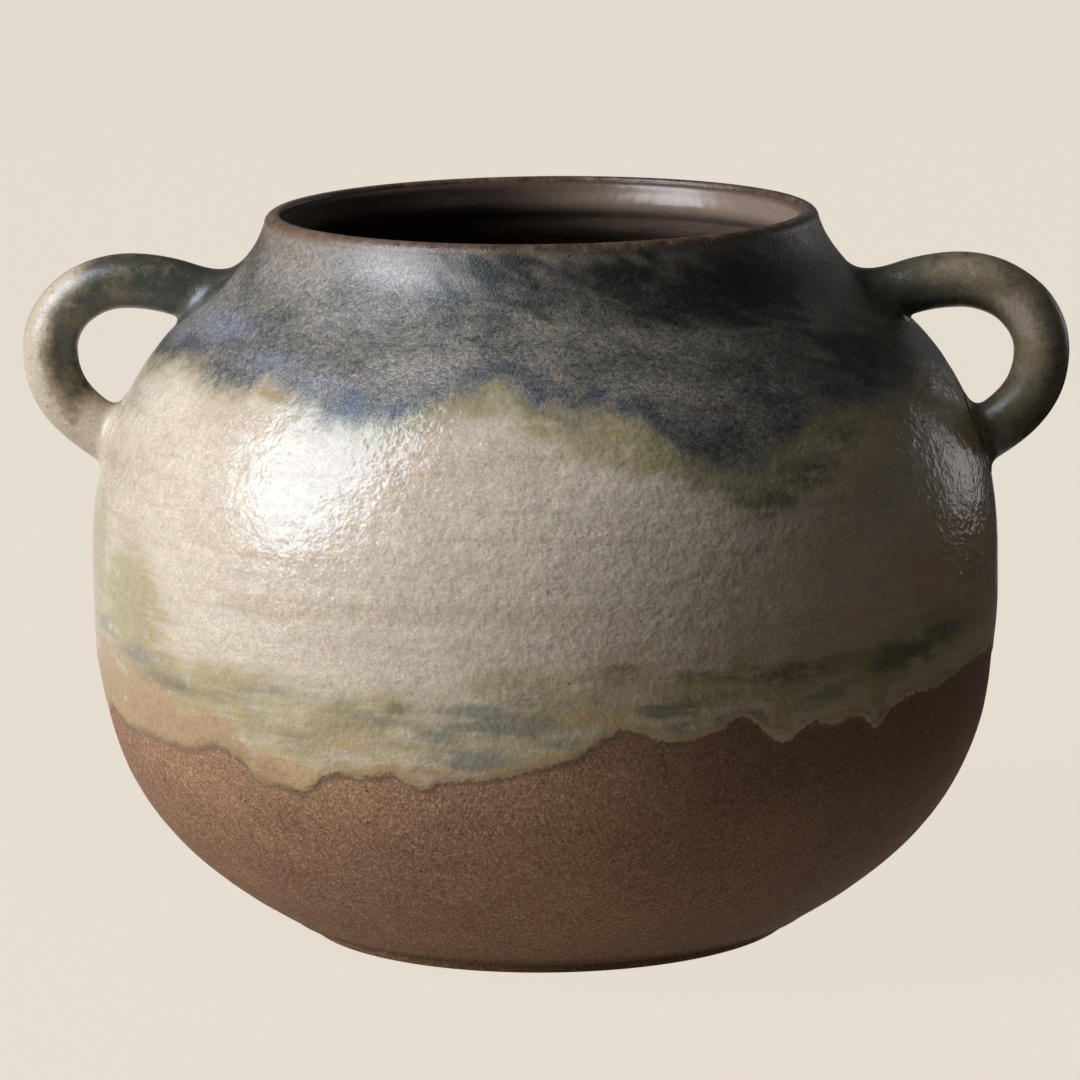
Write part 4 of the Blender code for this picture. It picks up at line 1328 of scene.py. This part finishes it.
def grit_tree():
    """Strews small flat grains over a surface, between two heights."""
    sizes = {
        "Surface": "Object", "Number per square metre": "Float", "Smallest": "Float", "Largest": "Float",
        "Sunk": "Float", "Lowest": "Float", "Highest": "Float", "Seed": "Int", "Finish": "Material",
    }
    tree, given, result = geometry_tree("strewn_grit", sizes)
    ground = shape_of(tree, given["Surface"])
    place = node(tree, "GeometryNodeInputPosition", {}).outputs[0]
    height = axis_of(place, 2)
    normal = node(tree, "GeometryNodeInputNormal", {}).outputs[0]
    level = vectors("MULTIPLY", place, (1.0, 1.0, 0.0))
    facing_out = maths("GREATER_THAN", vectors("DOT_PRODUCT", normal, level), 0.0)
    high_enough = maths("GREATER_THAN", height, given["Lowest"])
    within = times(high_enough, maths("LESS_THAN", height, given["Highest"]))
    strewn = node(
        tree, "GeometryNodeDistributePointsOnFaces", {"distribute_method": "RANDOM"}, ground,
        Selection=times(within, facing_out), Density=given["Number per square metre"], Seed=given["Seed"],
    )
    grain = node(tree, "GeometryNodeMeshIcoSphere", {}, 0.5, 1).outputs["Mesh"]
    size = node(
        tree, "FunctionNodeRandomValue", {}, None, None, given["Smallest"], given["Largest"],
        Seed=given["Seed"],
    )
    low = scaled(strewn.outputs["Normal"], times(given["Sunk"], -1.0))
    points = node(tree, "GeometryNodeSetPosition", {}, strewn.outputs["Points"], Offset=low).outputs[0]
    grit = node(
        tree, "GeometryNodeInstanceOnPoints", {}, points,
        Instance=grain, Rotation=strewn.outputs["Rotation"],
        Scale=vectors("MULTIPLY", xyz(*[size.outputs[1]] * 3), (1.0, 0.8, 0.55)),
    ).outputs[0]
    return finished(grit, given, result)


strewing = grit_tree()


def grit_finish(name, first, second):
    material, where, shader = surface(name)
    tone = mottling(where, 4, 4, 4, 91.0, 2.0)
    fill(shader, Base_Color=mixed(fade(tone, 0.4, 0.6), first, second), Roughness=0.6)
    return material


def strewn_over(ground, name, number, sizes, sunk, heights, seed, colours):
    """One kind of grain over a piece, so many to the square metre, of sizes and heights from and to."""
    grit = made_by(
        strewing, name, bpy.data.meshes.new(name),
        {
            "Surface": ground, "Number per square metre": number, "Smallest": sizes[0],
            "Largest": sizes[1], "Sunk": sunk, "Lowest": heights[0], "Highest": heights[1], "Seed": seed,
            "Finish": grit_finish(name, *colours),
        },
    )
    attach(grit, "root")


bare_heights = (0.0045, 0.0450)
glazed_heights = (0.0660, 0.1160)
strewn_over(
    thrown_pot, "sand_grit", 42000.0, (0.00022, 0.00055), 0.00006, bare_heights, 12,
    ((0.190, 0.105, 0.066), (0.330, 0.205, 0.130)),
)
strewn_over(
    thrown_pot, "iron_specks", 9000.0, (0.00025, 0.00060), 0.00008, bare_heights, 25,
    ((0.030, 0.021, 0.018), (0.070, 0.045, 0.034)),
)
strewn_over(
    cream_coat, "bled_iron", 3000.0, (0.00030, 0.00075), 0.00011, glazed_heights, 33,
    ((0.110, 0.070, 0.045), (0.050, 0.034, 0.026)),
)


# The studio: a pale floor and a pale backdrop all round, one large soft lamp at the left, a weak
# strip behind at the right, and the camera where the photographer stood.

background = (0.776, 0.716, 0.624)


def show_background(tree):
    """1 for the camera, gloss and glass, which see the plain background colour, and 0 for other rays."""
    path = node(tree, "ShaderNodeLightPath", {})
    seen = maths("MAXIMUM", path.outputs["Is Camera Ray"], path.outputs["Is Glossy Ray"])
    seen = maths("MAXIMUM", seen, path.outputs["Is Transmission Ray"])
    return seen


world = bpy.data.worlds.new("studio")
bpy.context.scene.world = world
world.use_nodes = True
tree = world.node_tree
backdrop = tree.nodes["Background"]
seen = show_background(tree)
fill(backdrop, Color=mixed(seen, (0.050, 0.047, 0.043), background), Strength=1.0)

# Dark cards stand in two rows round the pot but for the window's side, black ones hang over it and
# lie on the floor at the right, and a grey one lies in front at the left. They are out of the
# camera's sight and cast no shadow: they only keep the pot's right side and its reflections dark.
card_reach = 1.5
card_levels = (0.004, 0.9, 1.6)
card_columns = 63
card_turns = np.radians(np.linspace(-34, 274, card_columns + 1))
card_points = [
    (card_reach * sin(turn), -card_reach * cos(turn), level) for level in card_levels for turn in card_turns
]
upper = len(card_turns)
card_faces = [
    (i, i + 1, i + upper + 1, i + upper) for row in (0, upper) for i in range(row, row + card_columns)
]
flat_cards = (
    (-card_reach, -card_reach, card_reach, card_reach, card_levels[-1]),
    (0.15, -card_reach, card_reach, card_reach, 0.003),
    (0.0, -card_reach, 0.15, -0.20, 0.003),
    (-card_reach, -card_reach, 0.0, -0.20, 0.003),
)
for left, front, to_right, to_back, level in flat_cards:
    card_faces.append(tuple(len(card_points) + i for i in range(4)))
    corners = ((left, front), (to_right, front), (to_right, to_back), (left, to_back))
    card_points += [(x, y, level) for x, y in corners]
card_mesh = bpy.data.meshes.new("dark_cards")
card_mesh.from_pydata(card_points, [], card_faces)
for card, tone in (("dark_card", 0.34), ("black_card", 0.012), ("grey_card", 0.40)):
    material = bpy.data.materials.new(card)
    material.use_nodes = True
    shader = material.node_tree.nodes["Principled BSDF"]
    fill(shader, Base_Color=(tone, tone * 0.93, tone * 0.8), Roughness=0.9)
    card_mesh.materials.append(material)
for face in card_mesh.polygons:
    beside = face.index < card_columns and radians(14) < card_turns[face.index] < radians(196)
    face.material_index = 0 if beside else 1
card_mesh.polygons[-1].material_index = 2
dark_cards = added("dark_cards", card_mesh)
dark_cards.visible_camera = False
dark_cards.visible_shadow = False

floor_mesh = bpy.data.meshes.new("studio_floor")
floor_mesh.from_pydata([(-6, -6, 0), (6, -6, 0), (6, 6, 0), (-6, 6, 0)], [], [(0, 1, 2, 3)])
studio_floor = added("studio_floor", floor_mesh)
floor_finish = bpy.data.materials.new("pale_floor")
floor_finish.use_nodes = True
tree = floor_finish.node_tree
shader = tree.nodes["Principled BSDF"]
fill(shader, Base_Color=(0.42, 0.38, 0.33), Roughness=0.9, Specular_IOR_Level=0.0)
glow = node(tree, "ShaderNodeEmission", {}, (0.829, 0.766, 0.670), 1.0)
share = times(show_background(tree), 0.93)
mix = node(tree, "ShaderNodeMixShader", {}, share, shader.outputs[0], glow.outputs[0])
fill(tree.nodes["Material Output"], Surface=mix.outputs[0])
floor_mesh.materials.append(floor_finish)


pot_middle = Vector((0, 0, 0.08))


def way_to(azimuth, elevation):
    """The way out from the pot at an azimuth and an elevation in radians."""
    return Vector((sin(azimuth) * cos(elevation), -cos(azimuth) * cos(elevation), sin(elevation)))


def lamp(name, azimuth, elevation, distance, width, tall, power, colour):
    """A soft round box that faces the middle of the pot, at angles in degrees."""
    light = bpy.data.lights.new(name, "AREA")
    light.shape = "ELLIPSE"
    light.color = colour
    light.size, light.size_y = width, tall
    light.energy = power
    item = added(name, light)
    way = way_to(radians(azimuth), radians(elevation))
    item.location = pot_middle + way * distance
    item.rotation_mode = "QUATERNION"
    item.rotation_quaternion = way.to_track_quat("Z", "Y")


lamp("window_box", -64, 32, 1.3, 0.82, 1.40, 22.4, (0.93, 0.97, 1.07))
lamp("rear_strip", 137, 4.2, 1.3, 0.50, 0.60, 0.72, (1.04, 0.97, 0.93))

lens = 195.6
camera_distance = 1.300
camera_pitch = radians(10.75)
camera_turn = radians(3.95)
camera_roll = radians(-0.66)
aim_above = 0.00464
aim_left = 0.00115
back = way_to(camera_turn, camera_pitch)
right = Vector((cos(camera_turn), sin(camera_turn), 0))
up = back.cross(right)
camera_data = bpy.data.cameras.new("camera")
camera_data.lens = lens
camera_data.sensor_width = 36
camera_data.clip_start = 0.05
camera = added("camera", camera_data)
bpy.context.scene.camera = camera
camera.location = pot_middle + back * camera_distance
aim = pot_middle + up * aim_above - right * aim_left
look = (camera.location - aim).normalized()
sideways = Vector((0, 0, 1)).cross(look).normalized()
upright = look.cross(sideways)
facing = Matrix((sideways, upright, look)).transposed()
camera.rotation_mode = "QUATERNION"
camera.rotation_quaternion = (facing @ Matrix.Rotation(camera_roll, 3, "Z")).to_quaternion()

bpy.context.scene.view_settings.view_transform = "Standard"
